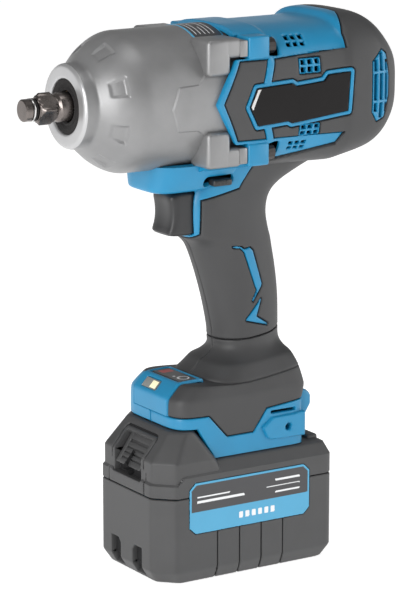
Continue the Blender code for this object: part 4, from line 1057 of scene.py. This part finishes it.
HOOK_PAD_OUTLINE = ((19.6, 85.4), (12.6, 80.4), (15.8, 74.2), (18.0, 72.8), (41.2, 72.2), (41.2, 86.2))
HOOK_HOLE, HOOK_HOLE_RADIUS = (29.9, 78.8), 1.9
PAD_Y = 32.4


def to_hook_hole(points):
    return np.hypot(*(side(points) - HOOK_HOLE).T) - HOOK_HOLE_RADIUS


def pad_part(sign):
    """The raised pad for a belt hook, with its screw hole, on one side of the foot."""

    def edge(p):
        return nearest_of(-to_outline(side(p), HOOK_PAD_OUTLINE), to_hook_hole(p))

    sheet = flat_grid((11, 70), (43, 88), sign * PAD_Y, 0.7)
    return zoned(*sheet, [(None, 0)], edge, wall=3.2, radius=1.1)[0]


def ear_part(sign):
    """The ear behind the foot."""
    outline = ((40, 97.5), (46.3, 96.6), (49.1, 93.4), (49.1, 88), (45.4, 82.2), (40, 80.7))
    return slab(outline, "Y", *sorted((sign * 0.1, sign * 26.0)), 1.6, 4)


PANEL_PATH = (
    (-17.0, 107.4), (-17.3, 109.2), (-18.6, 109.9), (-32.4, 109.5), (-34.4, 108.6), (-40.3, 102.2),
    (-41.1, 100.6), (-41.2, 99.0), (-41.2, 91.6),
)
PANEL_HALF_WIDTH = 17.5


def panel_pieces():
    """The blue bezel in front of the foot, its membrane, and the tinted window over the lamp."""
    path = resample(rounded_profile(PANEL_PATH, 2), 0.6)
    across = np.linspace(-PANEL_HALF_WIDTH, PANEL_HALF_WIDTH, 60)
    sheet = open_grid(np.array([[(x, y, z) for y in across] for x, z in path]))

    def edge(p):
        window = np.maximum(to_box(p[:, [1, 2]], (-2.5, 103.0), (12.2, 107.4), 0.6), p[:, 0] + 34.2)
        membrane = np.maximum(to_box(p[:, [0, 1]], (-31.9, -15.2), (-18.8, 15.2), 1.4), 107.0 - p[:, 2])
        return nearest_of(PANEL_HALF_WIDTH - np.abs(p[:, 1]), window, membrane)

    bezel = zoned(*turned_to(*sheet, (-1, 0, 0)), [(None, 0)], edge, wall=1.6, radius=0.9)
    mesh_piece("bezel", bezel, ["blue"], "housing", "blue_nylon", "control_panel")

    grid_x, grid_y = np.meshgrid(np.linspace(-31.7, -19.0, 44), np.linspace(-15.1, 15.1, 96))
    sheet = open_grid(np.stack([grid_x, grid_y, np.full_like(grid_x, 109.3)], -1))

    def lamp_dots(p):
        return nearest_of(*(np.hypot(p[:, 0] + 27.5, p[:, 1] - y) - 0.9 for y in (-7.5, -3.0)))

    def mode_ring(p):
        return np.abs(np.hypot(p[:, 0] + 25.0, p[:, 1] + 8.6) - 3.1) - 0.45

    def red_mark(p):
        return to_box(p[:, [0, 1]], (-28.8, 6.6), (-21.2, 12.2), 0.8)

    membrane = zoned(
        *turned_to(*sheet, (0, 0, 1)), [(red_mark, 2), (mode_ring, 1), (lamp_dots, 1), (None, 0)],
        lambda p: -to_box(p[:, [0, 1]], (-31.1, -14.7), (-19.4, 14.7), 1.2), radius=0.5,
    )
    mesh_piece("membrane", membrane, ["label_dark", "white_ink", "red_ink"], "button_body", "black_plastic",
               "mode_button")

    window = slab(((-39.6, 102.9), (-35.5, 107.3), (-34.9, 106.7), (-39.0, 102.3)), "Y", -2.2, 12.0, 0.25, 2)
    mesh_piece("lamp_window", [(*window, 0)], ["window"], "housing", "lens", "work_light_lens")
    led = slab(((-39.3, 103.5), (-36.2, 106.8), (-36.0, 106.6), (-39.1, 103.3)), "Y", -1.4, 4.2, 0.08, 2)
    mesh_piece("lamp_chip", [(*led, 0)], ["lamp"], "housing", "lens")


TRIGGER_ROD_Z = 203.0
TRIGGER = (
    (213.3, -32.2, -16.4, 9.6, 3.0), (212.6, -33.8, -16.2, 10.7, 4.0), (210.4, -34.5, -16.2, 10.9, 4.5),
    (206.0, -33.4, -16.2, 10.9, 4.5), (200.0, -33.0, -16.2, 10.9, 4.5), (195.0, -33.9, -16.2, 10.9, 4.5),
    (192.0, -35.2, -16.2, 10.9, 4.5), (190.4, -35.4, -16.2, 10.7, 4.0), (189.6, -33.8, -16.6, 9.4, 3.0),
)


def control_pieces():
    """The trigger with its plunger, and the direction lever."""
    points, faces = skin(standing_rings(TRIGGER, 96), cap_first=True, cap_last=True)
    x, y, z = points.T
    hollow = np.clip((-26.0 - x) / 7, 0, 1) * (1 - np.clip(np.abs(y) / 9.5, 0, 1) ** 2)
    points = points + np.stack([0.9 * hollow, np.zeros(len(x)), np.zeros(len(x))], 1)
    rod = turned([(-17, 0), (-17, 2.3), (-3.6, 2.3), (-3.6, 0)], 32, TRIGGER_ROD_Z)
    mesh_piece("trigger_blade", [(points, faces, 0), (*rod, 0)], ["black"], "trigger_body", "black_plastic",
               "trigger")
    parts = [block((-13.0, -20, 218.1), (-5.2, 20, 221.3), 0.4, 2)]
    for sign in (-1, 1):
        parts.append(block((-15.1, sign * 18.9, 217.9), (-3.1, sign * 24.9, 221.6), 1.2, 4))
        for k in range(3):
            x = -11.6 + 2.2 * k
            parts.append(block((x, sign * 24.4, 218.8), (x + 0.7, sign * 25.15, 220.7), 0.2, 1))
    mesh_piece("lever_bar", [(*part, 0) for part in parts], ["black"], "lever_body", "black_plastic",
               "direction_lever")


# ---------------------------------------------------------------- battery


def pack_ring(z, front, rear, half_width, front_cut, rear_cut, count=420):
    """One level of the battery: a rectangle with cut corners, from the middle of its front."""
    corners = np.array([
        (front, 0), (front, half_width - front_cut), (front + front_cut, half_width),
        (rear - rear_cut, half_width), (rear, half_width - rear_cut), (rear, 0),
    ])
    whole = np.vstack([corners, corners[-2:0:-1] * (1, -1), corners[:1]])
    for _ in range(3):
        whole = cut_corners(whole, np.minimum(0.25, 0.9 / np.maximum(line_gaps(whole), 1e-6))[:, None])
    return np.column_stack([round_loop(whole, count), np.full(count, z)])


def pack_rows(table, step=1.0):
    """The battery's sections at even steps, with the rows of the table kept among them."""
    rows = np.array(table, float)
    length = travelled(section_gaps(rows))
    places = np.union1d(np.linspace(0, length[-1], int(length[-1] / step) + 1), length)
    return [pack_ring(*row) for row in at_places(rows, length, places)]


def grooved(points, faces, lines, holes, wall, floor=None, seam_depth=0.8, width=0.4, rim=0.5):
    """A shell of one colour with narrow grooves along lines, and holes that may have a floor. Grooves and
    floors are near black as painted shade.
    """
    points, faces = cut_levels(points, faces, lines, (width, width + rim))
    points, faces = cut_levels(points, faces, holes, (0.0, rim * RIM_STEP, rim))
    normals = point_normals(points, faces)
    middle = points[faces].mean(axis=1)
    away, gap = lines(middle), holes(middle)
    body = region(
        points, faces, normals, (gap > 0) & (away > width),
        lambda p: rounded(nearest_of(lines(p) - width, holes(p)), rim), wall,
    )
    # the grooves, near black as painted shade
    seam = region(points, faces, normals, (gap > 0) & (away <= width), lambda p: level(p) - seam_depth, 0)
    parts = [(*body, 0), (*seam, 1)]
    if floor:
        # the floor of each hole, near black as painted shade
        parts.append((*region(points, faces, normals, gap <= 0, lambda p: level(p) - floor, 0), 1))
    return parts


PACK_GROOVES = (-19.9, -5.2, 9.1, 23.4)
PACK_POCKET_OUTLINE = ((6.4, 2.0), (6.4, 15.6), (8.6, 18.2), (16.2, 18.2), (16.2, 2.0))
PACK_WALL_TOP = 61.0
PACK_SEAM_GAP, LABEL_GAP = 0.25, 0.25
LATCH_HALF_WIDTH = 14.0
LATCH_TOP_Z = 78.3
FRONT_LEDGE_X, FRONT_LEDGE_Z = -46.0, 57.0


def label_recess(points):
    """Signed distance to the recesses that the side labels sit in."""
    recess = to_outline(side(points), PACK_LABEL_OUTLINE) - LABEL_GAP
    return np.maximum(recess, 30 - np.abs(points[:, 1]))


def pack_lower_piece():
    """The battery's tray: grooved sides, label recesses and a pocket for the latch."""
    top = PACK_SEAM_Z - PACK_SEAM_GAP
    front, rear, half = -PACK_HALF_LENGTH, PACK_HALF_LENGTH, PACK_HALF_WIDTH
    levels = [
        (0.0, front + 5.2, rear - 4.6, half - 3.6, 9.6, 3.2),
        (0.6, front + 4.2, rear - 3.6, half - 2.7, 9.8, 3.0),
        (6.4, front + 0.5, rear - 0.4, half - 0.3, 10.4, 2.6), (7.6, front, rear, half, 10.4, 2.5),
        (top - 0.5, front, rear, half, 10.4, 2.5), (top, front + 0.4, rear - 0.4, half - 0.4, 10.4, 2.5),
    ]
    points, faces = skin(pack_rows(levels), cap_first=True)

    def lines(p):
        sides = to_lines(side(p), [((x, -4), (x, 27.6)) for x in PACK_GROOVES])
        return np.where(np.abs(p[:, 1]) > PACK_HALF_WIDTH - 4, sides, FAR)

    def holes(p):
        across = np.stack([np.abs(p[:, 1]), p[:, 2]], 1)
        pocket = np.maximum(to_outline(across, PACK_POCKET_OUTLINE), p[:, 0] + 48)
        return nearest_of(label_recess(p), pocket)

    parts = grooved(points, faces, lines, holes, wall=3.4, floor=3.2)
    mesh_piece("pack_tray", parts, ["pack", "seam"], "battery", "battery_plastic", "battery_case_lower")


# The arch engraved round the latch, and the line beside it, in (Y, Z).
PACK_ARCH = (
    ((-16.6, 64), (-16.6, 79.4), (-15.2, 80.6), (15.2, 80.6), (16.6, 79.4), (16.6, 64)),
    ((-19.2, 50), (-19.2, 61.6)),
)
# The wall behind the latch, in the near-black slot as painted shade, then the rear stop, the terminal tower
# and the rails:
# two corners, edge radius, segments and material slot.
PACK_BLOCKS = (
    ((-33.6, -LATCH_HALF_WIDTH, 57), (-31.5, LATCH_HALF_WIDTH, 79.0), 0.2, 1, 1),
    ((48, -23.8, 62), (55.3, 23.8, 69.0), 1.4, 3, 0),
    ((-30, -17.6, 60), (25.4, 17.6, 75.8), 0.4, 1, 0),
    ((-30, -22.4, 72.3), (25.4, 22.4, 75.8), 0.4, 1, 0),
)


def pack_upper_piece():
    """The battery's cover: the deck with its rails, and the block that holds the latch."""
    seam = PACK_SEAM_Z + PACK_SEAM_GAP
    front, rear, half = -PACK_HALF_LENGTH, PACK_HALF_LENGTH, PACK_HALF_WIDTH
    deck = [
        (seam, front + 0.4, rear - 0.4, half - 0.4, 10.4, 2.5),
        (seam + 0.5, front, rear, half, 10.4, 2.5), (PACK_WALL_TOP - 0.6, front, rear, half, 10.4, 2.5),
        (PACK_WALL_TOP + 0.4, front + 0.8, rear - 0.3, half - 0.8, 10.2, 2.5),
        (66.2, front + 4.6, rear - 1.6, 31.9, 9.2, 2.5), (66.8, front + 5.4, rear - 2.6, 30.9, 9.0, 2.5),
        (66.95, front + 6.6, rear - 3.8, 29.6, 8.8, 2.5),
    ]

    def deck_lines(p):
        front_lines = to_lines(p[:, [1, 2]], [((side_y, seam), (side_y, 58.6)) for side_y in (-18.5, 18.5)])
        return np.where(p[:, 0] < -50, front_lines, FAR)

    def deck_holes(p):
        outline = ((-16.4, 60.0), (-14.2, 55.8), (14.2, 55.8), (16.4, 60.0), (16.4, 80), (-16.4, 80))
        slot = np.maximum(to_outline(p[:, [1, 2]], outline), p[:, 0] + 50)
        return nearest_of(label_recess(p), slot)

    points, faces = skin(pack_rows(deck), cap_last=True)
    ledge = FRONT_LEDGE_Z + np.clip((points[:, 0] - FRONT_LEDGE_X) * 0.8, 0, 99)
    inwards = np.clip((points[:, 2] - ledge) / 0.7, 0, 1) * 1.6
    points[:, 1] -= np.sign(points[:, 1]) * inwards
    points[:, 0] += inwards * (points[:, 0] < -44)
    parts = grooved(points, faces, deck_lines, deck_holes, wall=4.0, floor=3.6)

    block_levels = [
        (56.0, front + 1.1, -12.8, half - 1.0, 10.0, 2.5), (66.0, front + 1.1, -17.6, half - 1.0, 10.0, 2.5),
        (68.4, front + 1.1, -19.2, half - 1.0, 10.0, 2.5), (69.8, front + 1.9, -20.1, half - 1.6, 9.9, 2.5),
        (83.0, -43.8, -28.3, 29.4, 7.2, 2.5), (84.0, -42.8, -29.0, 28.6, 7.0, 2.5),
        (84.4, -41.4, -30.0, 27.4, 6.8, 2.5),
    ]

    def block_lines(p):
        arch = to_lines(p[:, [1, 2]], PACK_ARCH)
        return np.where(p[:, 0] < -34, arch, FAR)

    def block_holes(p):
        reach = to_box(p[:, [1, 2]], (-LATCH_HALF_WIDTH, 50), (LATCH_HALF_WIDTH, LATCH_TOP_Z), 1.2)
        tooth = np.maximum(to_box(p[:, [0, 1]], (-40.2, -8.3), (-35.4, 8.3), 0.4), 83.0 - p[:, 2])
        return nearest_of(np.maximum(reach, p[:, 0] + 33.9), tooth)

    points, faces = skin(pack_rows(block_levels), cap_last=True)
    parts += grooved(points, faces, block_lines, block_holes, wall=7.0)
    for low, high, radius, segments, slot in PACK_BLOCKS:
        parts.append((*block(low, high, radius, segments), slot))
    mesh_piece("pack_cover", parts, ["pack", "seam"], "battery", "battery_plastic", "battery_case_upper")


LATCH_FOOT, LATCH_CREST = (-56.2, 61.6), (-45.6, 76.9)
LATCH_RIBS = ((0.0, 3.8), (5.4, 8.3), (9.1, 11.4), (12.2, 14.4), (15.2, 18.4))
LATCH_RIB_HEIGHT = 1.0


def latch_piece():
    """The release: a sloping plate with a finger notch and ribs, and the tooth that locks the battery in."""
    foot, crest = np.array(LATCH_FOOT), np.array(LATCH_CREST)
    rise = (crest - foot) / np.linalg.norm(crest - foot)
    sink = np.array((rise[1], -rise[0])) * LATCH_RIB_HEIGHT

    def plate(top, bottom):
        heel = tuple(bottom + (2.0, -0.9))
        return [(-35.0, 62.8), (-35.0, top[1]), tuple(top), tuple(bottom), heel]

    parts = [(*slab(plate(crest + sink, foot + sink), "Y", -10.6, 9.6, 0.2, 2), 0)]
    for low_y, high_y in ((-12.6, -10.4), (9.4, 12.6)):
        parts.append((*slab(plate(crest, foot), "Y", low_y, high_y, 0.7, 3), 0))
    for start, end in LATCH_RIBS:
        high, low = crest - rise * start, crest - rise * end
        rib = [tuple(high), tuple(low), tuple(low + sink * 2), tuple(high + sink * 2)]
        parts.append((*slab(rib, "Y", -10.6, 9.6, 0.25, 2), 0))
    parts.append((*block((-39.0, -7.7, 70), (-36.4, 7.7, 84.0), 0.6, 2), 0))
    mesh_piece("pack_latch", parts, ["pack"], "latch_body", "black_plastic", "battery_latch")


# ---------------------------------------------------------------- pieces kept from the frame


SCREWS = [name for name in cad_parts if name.startswith(("case_screw_", "housing_screw_"))]
KEPT = {
    "dark_steel": (*SCREWS, "hammer", "rotor_core", "stator_core"),
    "steel": (
        "anvil_washer", "cam_ball_1", "cam_ball_2", "cam_spindle", "spring_seat", "hammer_spring",
        "sun_pinion", "planet_gear_1", "planet_gear_2", "planet_gear_3", "ring_gear", "rotor_shaft",
        "front_motor_bearing", "rear_motor_bearing", "spindle_bearing", "latch_spring",
    ),
    "bronze": ("anvil_bushing",),
    "copper": ("stator_winding",),
    "black": ("gearbox_plate", "cooling_fan", "trigger_switch", "terminal_block"),
    "board": ("sensor_board", "motor_controller", "battery_board"),
    "wrap": ("battery_cells",),
}
KEPT_BEVEL = 0.00025


def kept_nodes():
    """Better finishes and broken edges for the CAD nodes that stay."""
    for finish_name, names in KEPT.items():
        for name in names:
            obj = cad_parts[name]
            for slot in obj.material_slots:
                slot.material = MATERIALS[finish_name]
            bevel = obj.modifiers.new("broken_edge", "BEVEL")
            bevel.width = KEPT_BEVEL
            bevel.segments = 2
            bevel.limit_method = "ANGLE"
            bevel.angle_limit = math.radians(40)


# ---------------------------------------------------------------- stage


CAMERA_TARGET = (-0.0075, 0.0, 0.1527)
CAMERA_DISTANCE = 1.5767
CAMERA_AZIMUTH, CAMERA_ELEVATION = math.radians(-32.43), math.radians(12.79)
CAMERA_LENS = 173.65


def make_camera():
    level_part = math.cos(CAMERA_ELEVATION)
    x, y = math.sin(CAMERA_AZIMUTH) * level_part, -math.cos(CAMERA_AZIMUTH) * level_part
    back = Vector((x, y, math.sin(CAMERA_ELEVATION)))
    data = bpy.data.cameras.new("studio_camera")
    data.lens = CAMERA_LENS
    data.sensor_width = 36.0
    data.clip_start = 0.05
    data.clip_end = 20.0
    camera = bpy.data.objects.new("studio_camera", data)
    camera.location = Vector(CAMERA_TARGET) + back * CAMERA_DISTANCE
    camera.rotation_euler = (-back).to_track_quat("-Z", "Y").to_euler()
    bpy.context.scene.collection.objects.link(camera)
    bpy.context.scene.camera = camera


def make_light(name, place, size, power, target=(0.0, 0.0, 0.16)):
    data = bpy.data.lights.new(name, "AREA")
    data.shape = "RECTANGLE"
    data.size, data.size_y = size
    data.energy = power
    lamp = bpy.data.objects.new(name, data)
    lamp.location = place
    lamp.rotation_euler = (Vector(target) - Vector(place)).to_track_quat("-Z", "Y").to_euler()
    bpy.context.scene.collection.objects.link(lamp)


# The sky is white up to the first height and fades to its dimmer strength at the second.
SKY_FADE = (0.12, 0.22, 1.0, 0.27)


def make_stage():
    bm = bmesh.new()
    bmesh.ops.create_grid(bm, x_segments=2, y_segments=2, size=12.0)
    mesh = bpy.data.meshes.new("studio_floor")
    bm.to_mesh(mesh)
    bm.free()
    floor = bpy.data.objects.new("studio_floor", mesh)
    white = surface("studio_floor", (0.9, 0.9, 0.9), 0.9, grain=20, bump=0.0, mottle=0.005, emission=0.8)
    floor.data.materials.append(white)
    floor.location.z = -0.0005
    bpy.context.scene.collection.objects.link(floor)
    world = bpy.data.worlds.new("studio_world")
    world.use_nodes = True
    nodes, links = world.node_tree.nodes, world.node_tree.links
    put(nodes["Background"], Color=(1.0, 1.0, 1.0, 1.0))
    place = nodes.new("ShaderNodeTexCoord")
    split = nodes.new("ShaderNodeSeparateXYZ")
    fade = nodes.new("ShaderNodeMapRange")
    put(fade, From_Min=SKY_FADE[0], From_Max=SKY_FADE[1], To_Min=SKY_FADE[2], To_Max=SKY_FADE[3])
    links.new(place.outputs["Generated"], split.inputs["Vector"])
    links.new(split.outputs["Z"], fade.inputs["Value"])
    links.new(fade.outputs["Result"], nodes["Background"].inputs["Strength"])
    bpy.context.scene.world = world
    bpy.context.scene.view_settings.view_transform = "Standard"
    make_light("key_light", (-1.6, -0.7, 0.7), (0.9, 1.2), 23)
    make_light("side_light", (1.3, -0.9, 0.6), (0.7, 1.2), 9)
    make_light("top_light", (0.0, -0.2, 1.7), (1.0, 0.6), 4)


make_camera()
make_stage()
kept_nodes()
shell_pieces()
nose_pieces()
nameplate_pieces()
top_label_piece()
panel_pieces()
control_pieces()
pack_lower_piece()
pack_upper_piece()
pack_label_pieces()
latch_piece()
